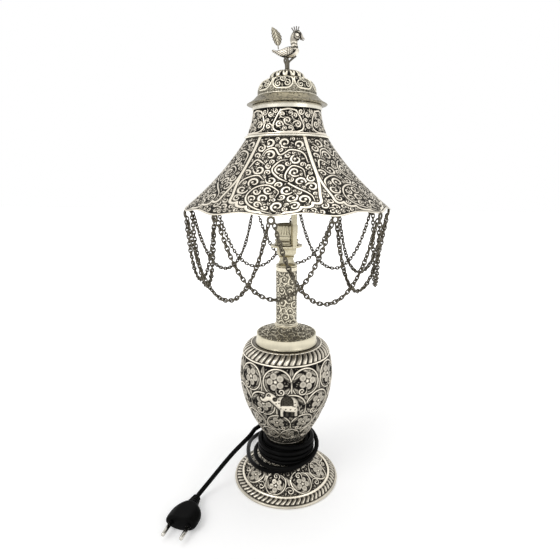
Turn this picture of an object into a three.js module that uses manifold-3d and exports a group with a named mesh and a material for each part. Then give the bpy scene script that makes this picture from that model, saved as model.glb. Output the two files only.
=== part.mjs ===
// Table lamp in chased white metal: bell foot, waist, vase, column, lamp holder, flared six-panel shade
// with chain swags, lift-off lid with a bird, and a mains cord wound round the waist.
// Millimetres, +Z up, origin on the table under the lamp's axis, front towards -Y.

import * as THREE from "three";
import { mergeVertices } from "three/addons/utils/BufferGeometryUtils.js";
import Module from "manifold-3d";

const wasm = await Module();
wasm.setup();

// Clearances and sheet
const SEAT_GAP = 0.3;
const WALL = 1.2;

// Foot: a turned-in lip, a rolled rim, a rising border, a bead ring and a concave bell
const FOOT_RADIUS = 59.4;
const FOOT_HEIGHT = 32;
const FOOT_LIP = 4.4;
const FOOT_ROLL = 1.6;
const FOOT_BORDER = 11.4;
const FOOT_BORDER_RISE = 6.6;
const FOOT_BEAD = 1.3;

// Waist spool that the cord is wound on
const WAIST_RADIUS = 20.8;
const WAIST_HEIGHT = 20.4;
const WAIST_HOLLOW = 0.8;

// Vase bowl, gadrooned shoulder, plain neck band and engraved cap
const VASE_BASE_RADIUS = 22;
const VASE_BELLY_RADIUS = 50.6;
const VASE_BELLY_HEIGHT = 78;
const VASE_MOUTH_RADIUS = 47;
const VASE_HEIGHT = 101.4;
const SHOULDER_TOP_RADIUS = 37.2;
const SHOULDER_HEIGHT = 11;
const GADROONS = 30;
const GADROON_RELIEF = 0.9;
const GADROON_SLANT = 0.7;
const NECK_FOOT_RADIUS = 36.4;
const NECK_TOP_RADIUS = 30.7;
const NECK_BAND_RADIUS = NECK_TOP_RADIUS + 2.2;
const NECK_HEIGHT = 10.6;
const NECK_LEDGE = 2;
const CAP_RECESS = 1.4;
const CAP_RISE = 10.4;

// Column and capital
const COLUMN_RADIUS = 11.2;
const COLUMN_HEIGHT = 64;
const COLUMN_WALL = 1;
const COLUMN_BASE_FLARE = 1.4;
const COLUMN_BASE_HEIGHT = 2.6;
const CAPITAL_HEIGHT = 20.4;
const CAPITAL_NECK_RADIUS = 7.2;
const CAPITAL_CUP_RADIUS = 10.4;

// Tie tube through the whole stem, with the nut and washer that clamp it under the foot
const TIE_RADIUS = 5;
const TIE_BORE = 3.3;
const TIE_TAIL = 4;
const NUT_ACROSS = 17;
const NUT_HEIGHT = 6;
const WASHER_RADIUS = 14;
const WASHER_THICKNESS = 1.6;

// Lamp holder
const HOLDER_FLANGE_RADIUS = 12.4;
const HOLDER_FLANGE_HEIGHT = 2;
const HOLDER_CUP_RADIUS = 10.7;
const HOLDER_CUP_HEIGHT = 9.4;
const HOLDER_CUP_WALL = 1.3;
const HOLDER_FLOOR = 2;
const HOLDER_LEDGE_HEIGHT = 5;
const HOLDER_LEDGE_WIDTH = 1;
const INSULATOR_HEIGHT = 3;
const CONTACT_RADIUS = 2.4;
const CONTACT_HEIGHT = 1.2;
const SLEEVE_RADIUS = 11.4;
const SLEEVE_BORE = 7.6;
const SLEEVE_HEIGHT = 12;
const SLEEVE_FLUTES = 14;
const FLUTE_DEPTH = 0.7;

// Harp that carries the shade: a base ring, one square arm, a bridge and a stud
const HARP_TURN = -52;
const HARP_GAP = 12.8;
const HARP_ARM_THICKNESS = 3.6;
const HARP_ARM_WIDTH = 4.6;
const HARP_BASE = 1.8;
const HARP_HEIGHT = 122;
const HARP_BRIDGE = 3;
const HARP_CORNER = 6;
const STUD_RADIUS = 2.6;
const STUD_HEIGHT = 10;

// Shade: spider in the collar, collar, seam ring, flared skirt with a scalloped rim
const SPIDER_THICKNESS = 2.4;
const SPIDER_HUB_RADIUS = 6.5;
const SPIDER_SPOKES = 3;
const SPIDER_SPOKE_WIDTH = 4;
const SPIDER_RIM_WIDTH = 2.4;
const CLAMP_NUT_RADIUS = 5.2;
const CLAMP_NUT_HEIGHT = 4.4;
const COLLAR_TOP_RADIUS = 32.8;
const COLLAR_FOOT_RADIUS = 39.6;
const COLLAR_HEIGHT = 28.4;
const COLLAR_ABOVE_SPIDER = 15.2;
const COLLAR_BAND_HEIGHT = 5;
const COLLAR_BAND_RELIEF = 0.6;
const SEAM_RADIUS = 41.8;
const SEAM_WIDTH = 3.2;
const SEAM_HEIGHT = 2.2;
const SKIRT_TOP_RADIUS = 41;
const SKIRT_RIM_RADIUS = 103.8;
const SKIRT_HEIGHT = 66;
const SKIRT_WALL = 1.9;
const SCALLOPS = 12;
const SCALLOP_SHARE = 0.045;
const PANEL_RIB = 1.3;
const PANEL_RIB_SPREAD = 0.055;

// Chain swags on eye rings under the scallops, each from one eye to the next but one
const EYE_RADIUS = 2.6;
const EYE_WIRE = 0.65;
const EYE_INSET = 1;
const EYE_STAGGER = 1;
const SWAG_SPREAD = 2.7;
const SWAG_DROP = 2.75;
const OUTER_SAG = 72;
const INNER_SAG = 68;
const SWAG_LEAN = 1.5;
const CHAIN_WIDTH = 4.4;
const CHAIN_WIRE = 1.3;
const CHAIN_LINKS = 34;

// Lid: wide flange, pierced dome, spigot, petal cap
const LID_FLANGE_RADIUS = 39;
const LID_FLANGE_EDGE = 1.4;
const LID_FLANGE_RISE = 8;
const LID_DOME_RADIUS = 28.6;
const LID_DOME_HEIGHT = 17.6;
const LID_CROWN_RADIUS = 17.6;
const LID_BORE = 1.9;
const SPIGOT_HEIGHT = 5;
const PETALS = 12;
const PETAL_REACH = LID_CROWN_RADIUS - 0.8;
const PETAL_NOTCH = 2.2;
const PETAL_HEIGHT = 5.2;
const PETAL_THICKNESS = 1;

// Bird on its stem
const STEM_RADIUS = 2;
const STEM_HEIGHT = 10;
const BIRD_HEIGHT = 23;
const BIRD_GIRTH = 4.2;
const FEATHER_HEIGHT = 21;
const FEATHER_WIDTH = 8.6;
const FEATHER_THICKNESS = 1.4;
const CREST_HEIGHT = 5.4;
const CREST_STRANDS = 4;
const CREST_THICKNESS = 1;

// Cord, its outlet in the foot, its winding on the waist and its plug
const CORD_DIAMETER = 5;
const GLAND_RADIUS = 4.6;
const GLAND_LENGTH = 17;
const GLAND_LIP = 0.9;
const GLAND_REACH = FOOT_RADIUS - 8.4;
const GLAND_LEVEL = 12.6;
const WINDING_TURNS = 3;
const WINDING_PITCH = 5.75;
const WINDING_INNER_RADIUS = 24;
const WINDING_BOTTOM = 33.2;
const WINDING_END_ANGLE = 157;
const LAST_TURN_BOTTOM = 30.4;
const PLUG_WIDTH = 33;
const PLUG_LENGTH = 27;
const PLUG_THICKNESS = 14.4;
const PLUG_CORNER = 7;
const PLUG_EDGE = 2.4;
const PIN_SPACING = 19;
const PIN_RADIUS = 2;
const PIN_LENGTH = 17;
const SLEEVE_END_RADIUS = 4.2;
const SLEEVE_ROOT_RADIUS = 6.4;
const PLUG_SLEEVE_LENGTH = 12;
const PLUG_SLEEVE_RIBS = 3;
const PLUG_PLACE = [-91, -87.6];
const PLUG_HEADING = 263;

// Facets round the turned pieces
const WIDE_FACETS = 32;
const SLIM_FACETS = 20;
const SMALL_FACETS = 12;
const CURVE_STEPS = 3;
const MERGE = 1e-4;

// Heights of the stack, from the table up
const waistBottom = FOOT_HEIGHT + SEAT_GAP;
const waistTop = waistBottom + WAIST_HEIGHT;
const vaseBottom = waistTop + SEAT_GAP;
const vaseTop = vaseBottom + VASE_HEIGHT;
const shoulderBottom = vaseTop + SEAT_GAP;
const shoulderTop = shoulderBottom + SHOULDER_HEIGHT;
const neckBottom = shoulderTop + SEAT_GAP;
const neckTop = neckBottom + NECK_HEIGHT;
const ledgeTop = neckTop - CAP_RECESS - WALL;
const capBottom = ledgeTop + SEAT_GAP;
const capTop = capBottom + CAP_RISE;
const columnBottom = capTop + SEAT_GAP;
const columnTop = columnBottom + COLUMN_HEIGHT;
const capitalBottom = columnTop + SEAT_GAP;
const capitalTop = capitalBottom + CAPITAL_HEIGHT;
const harpBottom = capitalTop + SEAT_GAP;
const harpTop = harpBottom + HARP_HEIGHT;
const holderBottom = harpBottom + HARP_BASE + SEAT_GAP;
const holderTop = holderBottom + HOLDER_CUP_HEIGHT;
const insulatorBottom = holderBottom + HOLDER_LEDGE_HEIGHT + SEAT_GAP;
const sleeveBottom = holderTop + SEAT_GAP;
const sleeveTop = sleeveBottom + SLEEVE_HEIGHT;
const spiderBottom = harpTop + SEAT_GAP;
const spiderTop = spiderBottom + SPIDER_THICKNESS;
const collarTop = spiderBottom + COLLAR_ABOVE_SPIDER;
const collarBottom = collarTop - COLLAR_HEIGHT;
const seamBottom = collarBottom - SEAT_GAP - SEAM_HEIGHT;
const skirtTop = seamBottom - SEAT_GAP;
const rimHeight = skirtTop - SKIRT_HEIGHT;
const lidBottom = collarTop + SEAT_GAP;
const domeBottom = lidBottom + LID_FLANGE_RISE;
const domeTop = domeBottom + LID_DOME_HEIGHT;
const petalTop = domeTop + SEAT_GAP + PETAL_HEIGHT;
const stemBottom = petalTop + SEAT_GAP;
const stemTop = stemBottom + STEM_HEIGHT;
const tieClearRadius = TIE_RADIUS + SEAT_GAP;
const washerBottom = FOOT_HEIGHT - WALL - SEAT_GAP - WASHER_THICKNESS;
const nutBottom = washerBottom - SEAT_GAP - NUT_HEIGHT;
const tieBottom = nutBottom - TIE_TAIL;
const tieTop = holderBottom + HOLDER_FLOOR + HOLDER_LEDGE_WIDTH;

const deg = THREE.MathUtils.degToRad;
const v2 = (x, y) => new THREE.Vector2(x, y);
const v3 = (x, y, z) => new THREE.Vector3(x, y, z);

// A closed (radius, height) outline turned about the lamp's axis
function turned(points, facets) {
  const closed = [...points, points[0].clone()];
  return new THREE.LatheGeometry(closed, facets).rotateX(Math.PI / 2);
}

// The closed section of a sheet: its outer outline, and a plainer outline set inwards by the wall,
// which stops at the outer outline's lowest level
function sheet(outer, wall, plain = outer) {
  const lowest = Math.min(...outer.map((point) => point.y));
  const inner = plain.map((point, i) => {
    const before = plain[Math.max(i - 1, 0)];
    const after = plain[Math.min(i + 1, plain.length - 1)];
    const along = after.clone().sub(before).normalize();
    return v2(point.x - along.y * wall, Math.max(point.y + along.x * wall, lowest));
  });
  return [...outer, ...inner.reverse()];
}

// The same for a sheet whose edges are cut level
function levelSheet(outer, wall, plain = outer) {
  const inner = plain.map((point) => v2(point.x - wall, point.y));
  return [...outer, ...inner.reverse()];
}

// Rings of points joined side to side; closed rows meet again at the first ring, open rows get flat ends
function joined(rings, closed, outward) {
  const sides = rings[0].length;
  const spans = closed ? rings.length : rings.length - 1;
  const index = [];
  const face = (a, b, c) => index.push(...(outward ? [a, b, c] : [a, c, b]));
  for (let i = 0; i < spans; i++) {
    for (let j = 0; j < sides; j++) {
      const next = ((i + 1) % rings.length) * sides;
      const side = (j + 1) % sides;
      face(i * sides + j, i * sides + side, next + side);
      face(i * sides + j, next + side, next + j);
    }
  }
  const last = (rings.length - 1) * sides;
  for (let j = 1; !closed && j + 1 < sides; j++) {
    face(0, j + 1, j);
    face(last, last + j, last + j + 1);
  }
  const geometry = new THREE.BufferGeometry().setFromPoints(rings.flat());
  geometry.setIndex(index);
  geometry.computeVertexNormals();
  return geometry;
}

// Sections set round the axis and joined into a ring, so that the outline may change with the angle
function around(facets, sectionAt) {
  const rings = Array.from({ length: facets }, (_, i) => {
    const angle = (2 * Math.PI * i) / facets;
    return sectionAt(angle).map((p) => v3(p.x * Math.cos(angle), p.x * Math.sin(angle), p.y));
  });
  return joined(rings, true, false);
}

// A round tube along a curve
function tube(curve, radius, sides, steps) {
  const section = Array.from({ length: sides }, (_, i) => {
    const angle = (2 * Math.PI * i) / sides;
    return v2(radius * Math.cos(angle), radius * Math.sin(angle));
  });
  curve.arcLengthDivisions = Math.max(200, steps * 8);
  return new THREE.ExtrudeGeometry(new THREE.Shape(section), { steps, extrudePath: curve });
}

// An upright drum on the axis, from one height to another
function drum(radius, bottom, top, facets, topRadius = radius) {
  const height = top - bottom;
  return new THREE.CylinderGeometry(topRadius, radius, height, facets)
    .rotateX(Math.PI / 2)
    .translate(0, 0, bottom + height / 2);
}

function solid(geometry) {
  const bare = geometry.clone();
  bare.deleteAttribute("normal");
  bare.deleteAttribute("uv");
  const merged = mergeVertices(bare, MERGE);
  const vertProperties = new Float32Array(merged.getAttribute("position").array);
  const triVerts = new Uint32Array(merged.getIndex().array);
  return new wasm.Manifold(new wasm.Mesh({ numProp: 3, vertProperties, triVerts }));
}

function shape(body) {
  const mesh = body.getMesh();
  const geometry = new THREE.BufferGeometry();
  geometry.setAttribute("position", new THREE.BufferAttribute(mesh.vertProperties, 3));
  geometry.setIndex(new THREE.BufferAttribute(mesh.triVerts, 1));
  geometry.computeVertexNormals();
  return geometry;
}

// Foot with the hole for the cord outlet in its back
function foot() {
  const bellBase = FOOT_RADIUS - FOOT_BORDER;
  const bell = (path) =>
    path
      .bezierCurveTo(
        bellBase - 0.37 * (bellBase - WAIST_RADIUS),
        FOOT_BORDER_RISE + 0.22 * (FOOT_HEIGHT - FOOT_BORDER_RISE),
        WAIST_RADIUS + 0.15 * (bellBase - WAIST_RADIUS),
        FOOT_BORDER_RISE + 0.64 * (FOOT_HEIGHT - FOOT_BORDER_RISE),
        WAIST_RADIUS,
        FOOT_HEIGHT - WALL / 2,
      )
      .lineTo(WAIST_RADIUS - WALL / 2, FOOT_HEIGHT)
      .lineTo(tieClearRadius, FOOT_HEIGHT);
  const outer = new THREE.Path()
    .moveTo(FOOT_RADIUS - FOOT_LIP, 0)
    .lineTo(FOOT_RADIUS - FOOT_ROLL, 0)
    .lineTo(FOOT_RADIUS, FOOT_ROLL)
    .lineTo(FOOT_RADIUS - FOOT_ROLL, 2 * FOOT_ROLL)
    .quadraticCurveTo(
      bellBase + 0.4 * FOOT_BORDER,
      FOOT_BORDER_RISE,
      bellBase + 2 * FOOT_BEAD,
      FOOT_BORDER_RISE,
    )
    .lineTo(bellBase + FOOT_BEAD, FOOT_BORDER_RISE + FOOT_BEAD)
    .lineTo(bellBase, FOOT_BORDER_RISE + FOOT_BEAD / 2);
  const plain = new THREE.Path()
    .moveTo(FOOT_RADIUS - FOOT_LIP, 0)
    .lineTo(FOOT_RADIUS - FOOT_ROLL, 0)
    .lineTo(FOOT_RADIUS - FOOT_ROLL, 2 * FOOT_ROLL)
    .lineTo(bellBase, FOOT_BORDER_RISE);
  const section = sheet(bell(outer).getPoints(CURVE_STEPS + 1), WALL, bell(plain).getPoints(CURVE_STEPS));
  const holeRadius = GLAND_RADIUS + SEAT_GAP;
  const hole = new THREE.CylinderGeometry(holeRadius, holeRadius, 2 * GLAND_LENGTH, SMALL_FACETS)
    .translate(0, GLAND_REACH - GLAND_LENGTH / 2, GLAND_LEVEL);
  return shape(solid(turned(section, WIDE_FACETS)).subtract(solid(hole)));
}

function waist() {
  const outer = new THREE.Path()
    .moveTo(WAIST_RADIUS, waistBottom)
    .quadraticCurveTo(WAIST_RADIUS - 2 * WAIST_HOLLOW, waistBottom + WAIST_HEIGHT / 2, WAIST_RADIUS, waistTop)
    .lineTo(tieClearRadius, waistTop);
  return turned(sheet(outer.getPoints(CURVE_STEPS), WALL), SLIM_FACETS);
}

function vaseBowl() {
  const belly = vaseBottom + VASE_BELLY_HEIGHT;
  const outer = new THREE.Path()
    .moveTo(tieClearRadius, vaseBottom)
    .lineTo(VASE_BASE_RADIUS, vaseBottom)
    .bezierCurveTo(
      VASE_BASE_RADIUS + 0.54 * (VASE_BELLY_RADIUS - VASE_BASE_RADIUS),
      vaseBottom + 0.33 * VASE_BELLY_HEIGHT,
      VASE_BELLY_RADIUS,
      vaseBottom + 0.615 * VASE_BELLY_HEIGHT,
      VASE_BELLY_RADIUS,
      belly,
    )
    .quadraticCurveTo(VASE_BELLY_RADIUS, belly + 0.6 * (vaseTop - belly), VASE_MOUTH_RADIUS, vaseTop);
  return turned(sheet(outer.getPoints(CURVE_STEPS + 1), WALL, outer.getPoints(2)), WIDE_FACETS);
}

// Shoulder with slanting gadroons that fade out at both edges
function vaseShoulder() {
  const rows = [0, 0.33, 0.7, 1];
  const curve = new THREE.QuadraticBezierCurve(
    v2(VASE_MOUTH_RADIUS, shoulderBottom),
    v2(VASE_MOUTH_RADIUS - 0.15 * (VASE_MOUTH_RADIUS - SHOULDER_TOP_RADIUS), shoulderTop - 0.2 * SHOULDER_HEIGHT),
    v2(SHOULDER_TOP_RADIUS, shoulderTop),
  );
  const plain = rows.map((row) => curve.getPoint(row));
  return around(2 * GADROONS, (angle) => {
    const outer = plain.map((point, i) => {
      const lobe = 0.5 + 0.5 * Math.cos(GADROONS * (angle + GADROON_SLANT * deg(rows[i] * 12)));
      const edge = i === 0 || i === rows.length - 1;
      return v2(point.x + (edge ? 0 : GADROON_RELIEF * lobe), point.y);
    });
    return sheet(outer, WALL, [plain[0], plain[2], plain[3]]);
  });
}

function neckBand() {
  const wallTop = NECK_TOP_RADIUS - WALL;
  const points = [
    v2(NECK_FOOT_RADIUS, neckBottom),
    v2(NECK_FOOT_RADIUS, neckBottom + WALL),
    v2(NECK_BAND_RADIUS, neckBottom + 0.25 * NECK_HEIGHT),
    v2(NECK_BAND_RADIUS, neckTop - SEAT_GAP),
    v2(NECK_TOP_RADIUS, neckTop),
    v2(wallTop, neckTop),
    v2(wallTop, ledgeTop),
    v2(wallTop - NECK_LEDGE, ledgeTop),
    v2(wallTop - NECK_LEDGE, ledgeTop - WALL),
    v2(wallTop, ledgeTop - WALL),
    v2(wallTop, neckBottom + 0.3 * NECK_HEIGHT),
    v2(NECK_FOOT_RADIUS - 2 * WALL, neckBottom),
  ];
  return turned(points, WIDE_FACETS);
}

function neckCap() {
  const edge = NECK_TOP_RADIUS - WALL - SEAT_GAP;
  const seat = COLUMN_RADIUS + COLUMN_BASE_FLARE;
  const top = new THREE.Path()
    .moveTo(edge, capBottom + WALL)
    .quadraticCurveTo(0.5 * (edge + seat), capBottom + WALL, seat, capTop)
    .lineTo(tieClearRadius, capTop)
    .getPoints(CURVE_STEPS);
  const under = new THREE.Path()
    .moveTo(tieClearRadius, capTop - WALL)
    .lineTo(seat - WALL, capTop - WALL)
    .lineTo(0.6 * edge, capBottom)
    .lineTo(edge, capBottom)
    .getPoints(1);
  return turned([...top, ...under], WIDE_FACETS);
}

function column() {
  const inner = COLUMN_RADIUS - COLUMN_WALL;
  const points = [
    v2(COLUMN_RADIUS + COLUMN_BASE_FLARE, columnBottom),
    v2(COLUMN_RADIUS + COLUMN_BASE_FLARE, columnBottom + COLUMN_BASE_HEIGHT / 2),
    v2(COLUMN_RADIUS, columnBottom + COLUMN_BASE_HEIGHT),
    v2(COLUMN_RADIUS, columnTop),
    v2(inner, columnTop),
    v2(inner, columnBottom),
  ];
  return turned(points, SLIM_FACETS);
}

function capital() {
  const at = (share) => capitalBottom + share * CAPITAL_HEIGHT;
  const outer = new THREE.Path()
    .moveTo(tieClearRadius, capitalBottom)
    .lineTo(COLUMN_RADIUS, capitalBottom)
    .lineTo(COLUMN_RADIUS, at(0.1))
    .quadraticCurveTo(CAPITAL_NECK_RADIUS, at(0.16), CAPITAL_NECK_RADIUS, at(0.42))
    .lineTo(CAPITAL_NECK_RADIUS + WALL, at(0.48))
    .lineTo(CAPITAL_NECK_RADIUS, at(0.54))
    .quadraticCurveTo(CAPITAL_CUP_RADIUS, at(0.6), CAPITAL_CUP_RADIUS, at(0.74))
    .lineTo(CAPITAL_CUP_RADIUS, capitalTop)
    .lineTo(tieClearRadius, capitalTop);
  return turned(outer.getPoints(2), SLIM_FACETS);
}

function tieTube() {
  const points = [v2(TIE_RADIUS, tieBottom), v2(TIE_RADIUS, tieTop), v2(TIE_BORE, tieTop), v2(TIE_BORE, tieBottom)];
  return turned(points, SMALL_FACETS);
}

// A hexagonal nut with its bore
function tieNut() {
  const corner = NUT_ACROSS / Math.sqrt(3);
  const body = solid(drum(corner, nutBottom, nutBottom + NUT_HEIGHT, 6));
  const bore = solid(drum(tieClearRadius, nutBottom - NUT_HEIGHT, nutBottom + 2 * NUT_HEIGHT, SMALL_FACETS));
  return shape(body.subtract(bore));
}

function tieWasher() {
  const top = washerBottom + WASHER_THICKNESS;
  const points = [
    v2(tieClearRadius, washerBottom),
    v2(WASHER_RADIUS, washerBottom),
    v2(WASHER_RADIUS, top),
    v2(tieClearRadius, top),
  ];
  return turned(points, SMALL_FACETS);
}

function holderBase() {
  const inner = HOLDER_CUP_RADIUS - HOLDER_CUP_WALL;
  const ledge = inner - HOLDER_LEDGE_WIDTH;
  const points = [
    v2(tieClearRadius, holderBottom),
    v2(HOLDER_FLANGE_RADIUS, holderBottom),
    v2(HOLDER_FLANGE_RADIUS, holderBottom + HOLDER_FLANGE_HEIGHT),
    v2(HOLDER_CUP_RADIUS, holderBottom + HOLDER_FLANGE_HEIGHT),
    v2(HOLDER_CUP_RADIUS, holderTop),
    v2(inner, holderTop),
    v2(inner, holderBottom + HOLDER_LEDGE_HEIGHT),
    v2(ledge, holderBottom + HOLDER_LEDGE_HEIGHT),
    v2(ledge, holderBottom + HOLDER_FLOOR),
    v2(tieClearRadius, holderBottom + HOLDER_FLOOR),
  ];
  return turned(points, SLIM_FACETS);
}

function insulator() {
  const radius = HOLDER_CUP_RADIUS - HOLDER_CUP_WALL - SEAT_GAP;
  return drum(radius, insulatorBottom, insulatorBottom + INSULATOR_HEIGHT, SLIM_FACETS);
}

function centreContact() {
  const bottom = insulatorBottom + INSULATOR_HEIGHT + SEAT_GAP;
  return drum(CONTACT_RADIUS, bottom, bottom + CONTACT_HEIGHT, SMALL_FACETS, CONTACT_RADIUS / 2);
}

// Fluted barrel with plain ends and the threadless bore for the bulb
function holderSleeve() {
  return around(2 * SLEEVE_FLUTES, (angle) => {
    const fluted = SLEEVE_RADIUS - FLUTE_DEPTH * (0.5 - 0.5 * Math.cos(SLEEVE_FLUTES * angle));
    return [
      v2(SLEEVE_BORE, sleeveBottom),
      v2(SLEEVE_RADIUS, sleeveBottom),
      v2(SLEEVE_RADIUS, sleeveBottom + WALL),
      v2(fluted, sleeveBottom + 2 * WALL),
      v2(fluted, sleeveTop - WALL),
      v2(SLEEVE_RADIUS - FLUTE_DEPTH, sleeveTop),
      v2(SLEEVE_BORE, sleeveTop),
    ];
  });
}

// An arm that turns over at the top into a bridge, which ends in a pad past the stud
function harp() {
  const outerHalf = HARP_GAP + HARP_ARM_THICKNESS;
  const pad = STUD_RADIUS + HARP_BRIDGE;
  const outerCorner = HARP_CORNER + HARP_BRIDGE;
  const underBridge = HARP_HEIGHT - HARP_BRIDGE;
  const frame = new THREE.Shape()
    .moveTo(HARP_GAP, 0)
    .lineTo(outerHalf, 0)
    .lineTo(outerHalf, HARP_HEIGHT - outerCorner)
    .quadraticCurveTo(outerHalf, HARP_HEIGHT, outerHalf - outerCorner, HARP_HEIGHT)
    .lineTo(-pad, HARP_HEIGHT)
    .lineTo(-pad, underBridge)
    .lineTo(HARP_GAP - HARP_CORNER, underBridge)
    .quadraticCurveTo(HARP_GAP, underBridge, HARP_GAP, underBridge - HARP_CORNER);
  const upright = new THREE.ExtrudeGeometry(frame, {
    depth: HARP_ARM_WIDTH,
    bevelEnabled: false,
    curveSegments: CURVE_STEPS,
  })
    .translate(0, 0, -HARP_ARM_WIDTH / 2)
    .rotateX(Math.PI / 2)
    .translate(0, 0, harpBottom);
  const ring = drum(outerHalf, harpBottom, harpBottom + HARP_BASE, SLIM_FACETS);
  const bore = drum(tieClearRadius, harpBottom - HARP_BASE, harpBottom + 2 * HARP_BASE, SMALL_FACETS);
  const stud = drum(STUD_RADIUS, harpTop - HARP_BRIDGE, harpTop + STUD_HEIGHT, SMALL_FACETS);
  return shape(solid(upright).add(solid(ring)).subtract(solid(bore)).add(solid(stud)));
}

// Inner radius of the collar at a height, from its straight taper
function collarRadiusAt(height) {
  const share = (collarTop - height) / COLLAR_HEIGHT;
  return COLLAR_TOP_RADIUS + (COLLAR_FOOT_RADIUS - COLLAR_TOP_RADIUS) * share ** 2 - WALL;
}

function spider() {
  const outer = collarRadiusAt(spiderTop) - SEAT_GAP;
  const rim = turned(
    [
      v2(outer - SPIDER_RIM_WIDTH, spiderBottom),
      v2(outer, spiderBottom),
      v2(outer, spiderTop),
      v2(outer - SPIDER_RIM_WIDTH, spiderTop),
    ],
    SLIM_FACETS,
  );
  let body = solid(rim).add(solid(drum(SPIDER_HUB_RADIUS, spiderBottom, spiderTop, SMALL_FACETS)));
  const length = outer - SPIDER_RIM_WIDTH / 2;
  for (let i = 0; i < SPIDER_SPOKES; i++) {
    const spoke = new THREE.BoxGeometry(length, SPIDER_SPOKE_WIDTH, SPIDER_THICKNESS)
      .translate(length / 2, 0, spiderBottom + SPIDER_THICKNESS / 2)
      .rotateZ((2 * Math.PI * i) / SPIDER_SPOKES);
    body = body.add(solid(spoke));
  }
  const bore = drum(STUD_RADIUS + SEAT_GAP, spiderBottom - SPIDER_THICKNESS, spiderTop + SPIDER_THICKNESS, SMALL_FACETS);
  return shape(body.subtract(solid(bore)));
}

function clampNut() {
  const bottom = spiderTop + SEAT_GAP;
  const top = bottom + CLAMP_NUT_HEIGHT;
  const bore = STUD_RADIUS + SEAT_GAP;
  const points = [v2(bore, bottom), v2(CLAMP_NUT_RADIUS, bottom), v2(CLAMP_NUT_RADIUS, top), v2(bore, top)];
  return turned(points, SMALL_FACETS);
}

// Collar: a plain raised band at its mouth over a body that flares to the seam
function collar() {
  const side = [1, 0.75, 0.5, COLLAR_BAND_HEIGHT / COLLAR_HEIGHT].map((share) => {
    const height = collarTop - share * COLLAR_HEIGHT;
    return v2(collarRadiusAt(height) + WALL, height);
  });
  const band = COLLAR_TOP_RADIUS + COLLAR_BAND_RELIEF;
  const outer = [...side, v2(band, collarTop - COLLAR_BAND_HEIGHT + COLLAR_BAND_RELIEF), v2(band, collarTop)];
  const plain = [side[0], side[2], v2(COLLAR_TOP_RADIUS, collarTop)];
  return turned(levelSheet(outer, WALL, plain), WIDE_FACETS);
}

function seamRing() {
  const middle = seamBottom + SEAM_HEIGHT / 2;
  const inner = SEAM_RADIUS - SEAM_WIDTH;
  const points = [
    v2(inner, seamBottom),
    v2(SEAM_RADIUS - SEAM_HEIGHT / 2, seamBottom),
    v2(SEAM_RADIUS, middle),
    v2(SEAM_RADIUS - SEAM_HEIGHT / 2, seamBottom + SEAM_HEIGHT),
    v2(inner, seamBottom + SEAM_HEIGHT),
  ];
  return turned(points, WIDE_FACETS);
}

// The skirt's slope, a hollow flare from the seam to the tips of the scallops
const skirtSlope = new THREE.QuadraticBezierCurve(
  v2(SKIRT_TOP_RADIUS, skirtTop),
  v2(SKIRT_TOP_RADIUS + 0.363 * (SKIRT_RIM_RADIUS - SKIRT_TOP_RADIUS), skirtTop - 0.527 * SKIRT_HEIGHT),
  v2(SKIRT_RIM_RADIUS, rimHeight),
);

// Scalloped rim, lowest under each eye; the six ribs between the panels stand proud of the slope
function skirt() {
  const shares = [0, 0.2, 0.4, 0.6, 0.8, 1];
  const panels = SCALLOPS / 2;
  const facets = SCALLOPS * 5;
  return around(facets, (angle) => {
    const fromFront = angle + Math.PI / 2;
    const cut = 1 - SCALLOP_SHARE * (0.5 - 0.5 * Math.cos(SCALLOPS * fromFront));
    const rib = Math.cos(panels * fromFront) < -1 + PANEL_RIB_SPREAD ? PANEL_RIB : 0;
    const plain = shares.map((share) => skirtSlope.getPoint(share * cut)).reverse();
    const outer = plain.map((point, i) => {
      const proud = i === 0 || i === plain.length - 1 ? 0 : rib;
      return v2(point.x + proud * 0.7, point.y + proud * 0.7);
    });
    return levelSheet(outer, SKIRT_WALL, plain.filter((_, i) => i !== 2 && i !== 4));
  });
}

// Eye rings under the scallops: odd ones sit nearer the axis, so that the two sets of swags pass clear
const eyeHeight = rimHeight - SEAT_GAP - EYE_WIRE - EYE_RADIUS;
const eyeAngle = (i) => -Math.PI / 2 + (2 * Math.PI * i) / SCALLOPS;

function eyeCentre(i) {
  const radius = SKIRT_RIM_RADIUS - EYE_INSET + (i % 2 ? -EYE_STAGGER : EYE_STAGGER);
  return v3(radius * Math.cos(eyeAngle(i)), radius * Math.sin(eyeAngle(i)), eyeHeight);
}

function eyeRing(i) {
  const centre = eyeCentre(i);
  return new THREE.TorusGeometry(EYE_RADIUS, EYE_WIRE, 4, 8)
    .rotateY(Math.PI / 2)
    .rotateZ(eyeAngle(i))
    .translate(centre.x, centre.y, centre.z);
}

// A chain's hanging line between two points at one height, as a catenary of the wanted sag along its down
class HangingLine extends THREE.Curve {
  constructor(start, end, sag, down) {
    super();
    this.down = down;
    this.start = start;
    this.end = end;
    this.half = start.distanceTo(end) / 2;
    this.sag = sag;
    let low = this.half / 20;
    let high = this.half * 20;
    for (let i = 0; i < 60; i++) {
      this.flatness = (low + high) / 2;
      const tooFlat = this.drop(this.half) < sag;
      low = tooFlat ? low : this.flatness;
      high = tooFlat ? this.flatness : high;
    }
  }

  drop(along) {
    return this.flatness * (Math.cosh(along / this.flatness) - 1);
  }

  // Even steps of the share are even steps of the chain's own length
  getPoint(share) {
    const reach = Math.sinh(this.half / this.flatness);
    const along = this.flatness * Math.asinh((2 * share - 1) * reach);
    const point = this.start.clone().lerp(this.end, (along / this.half + 1) / 2);
    return point.addScaledVector(this.down, this.sag - this.drop(along));
  }
}

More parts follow.
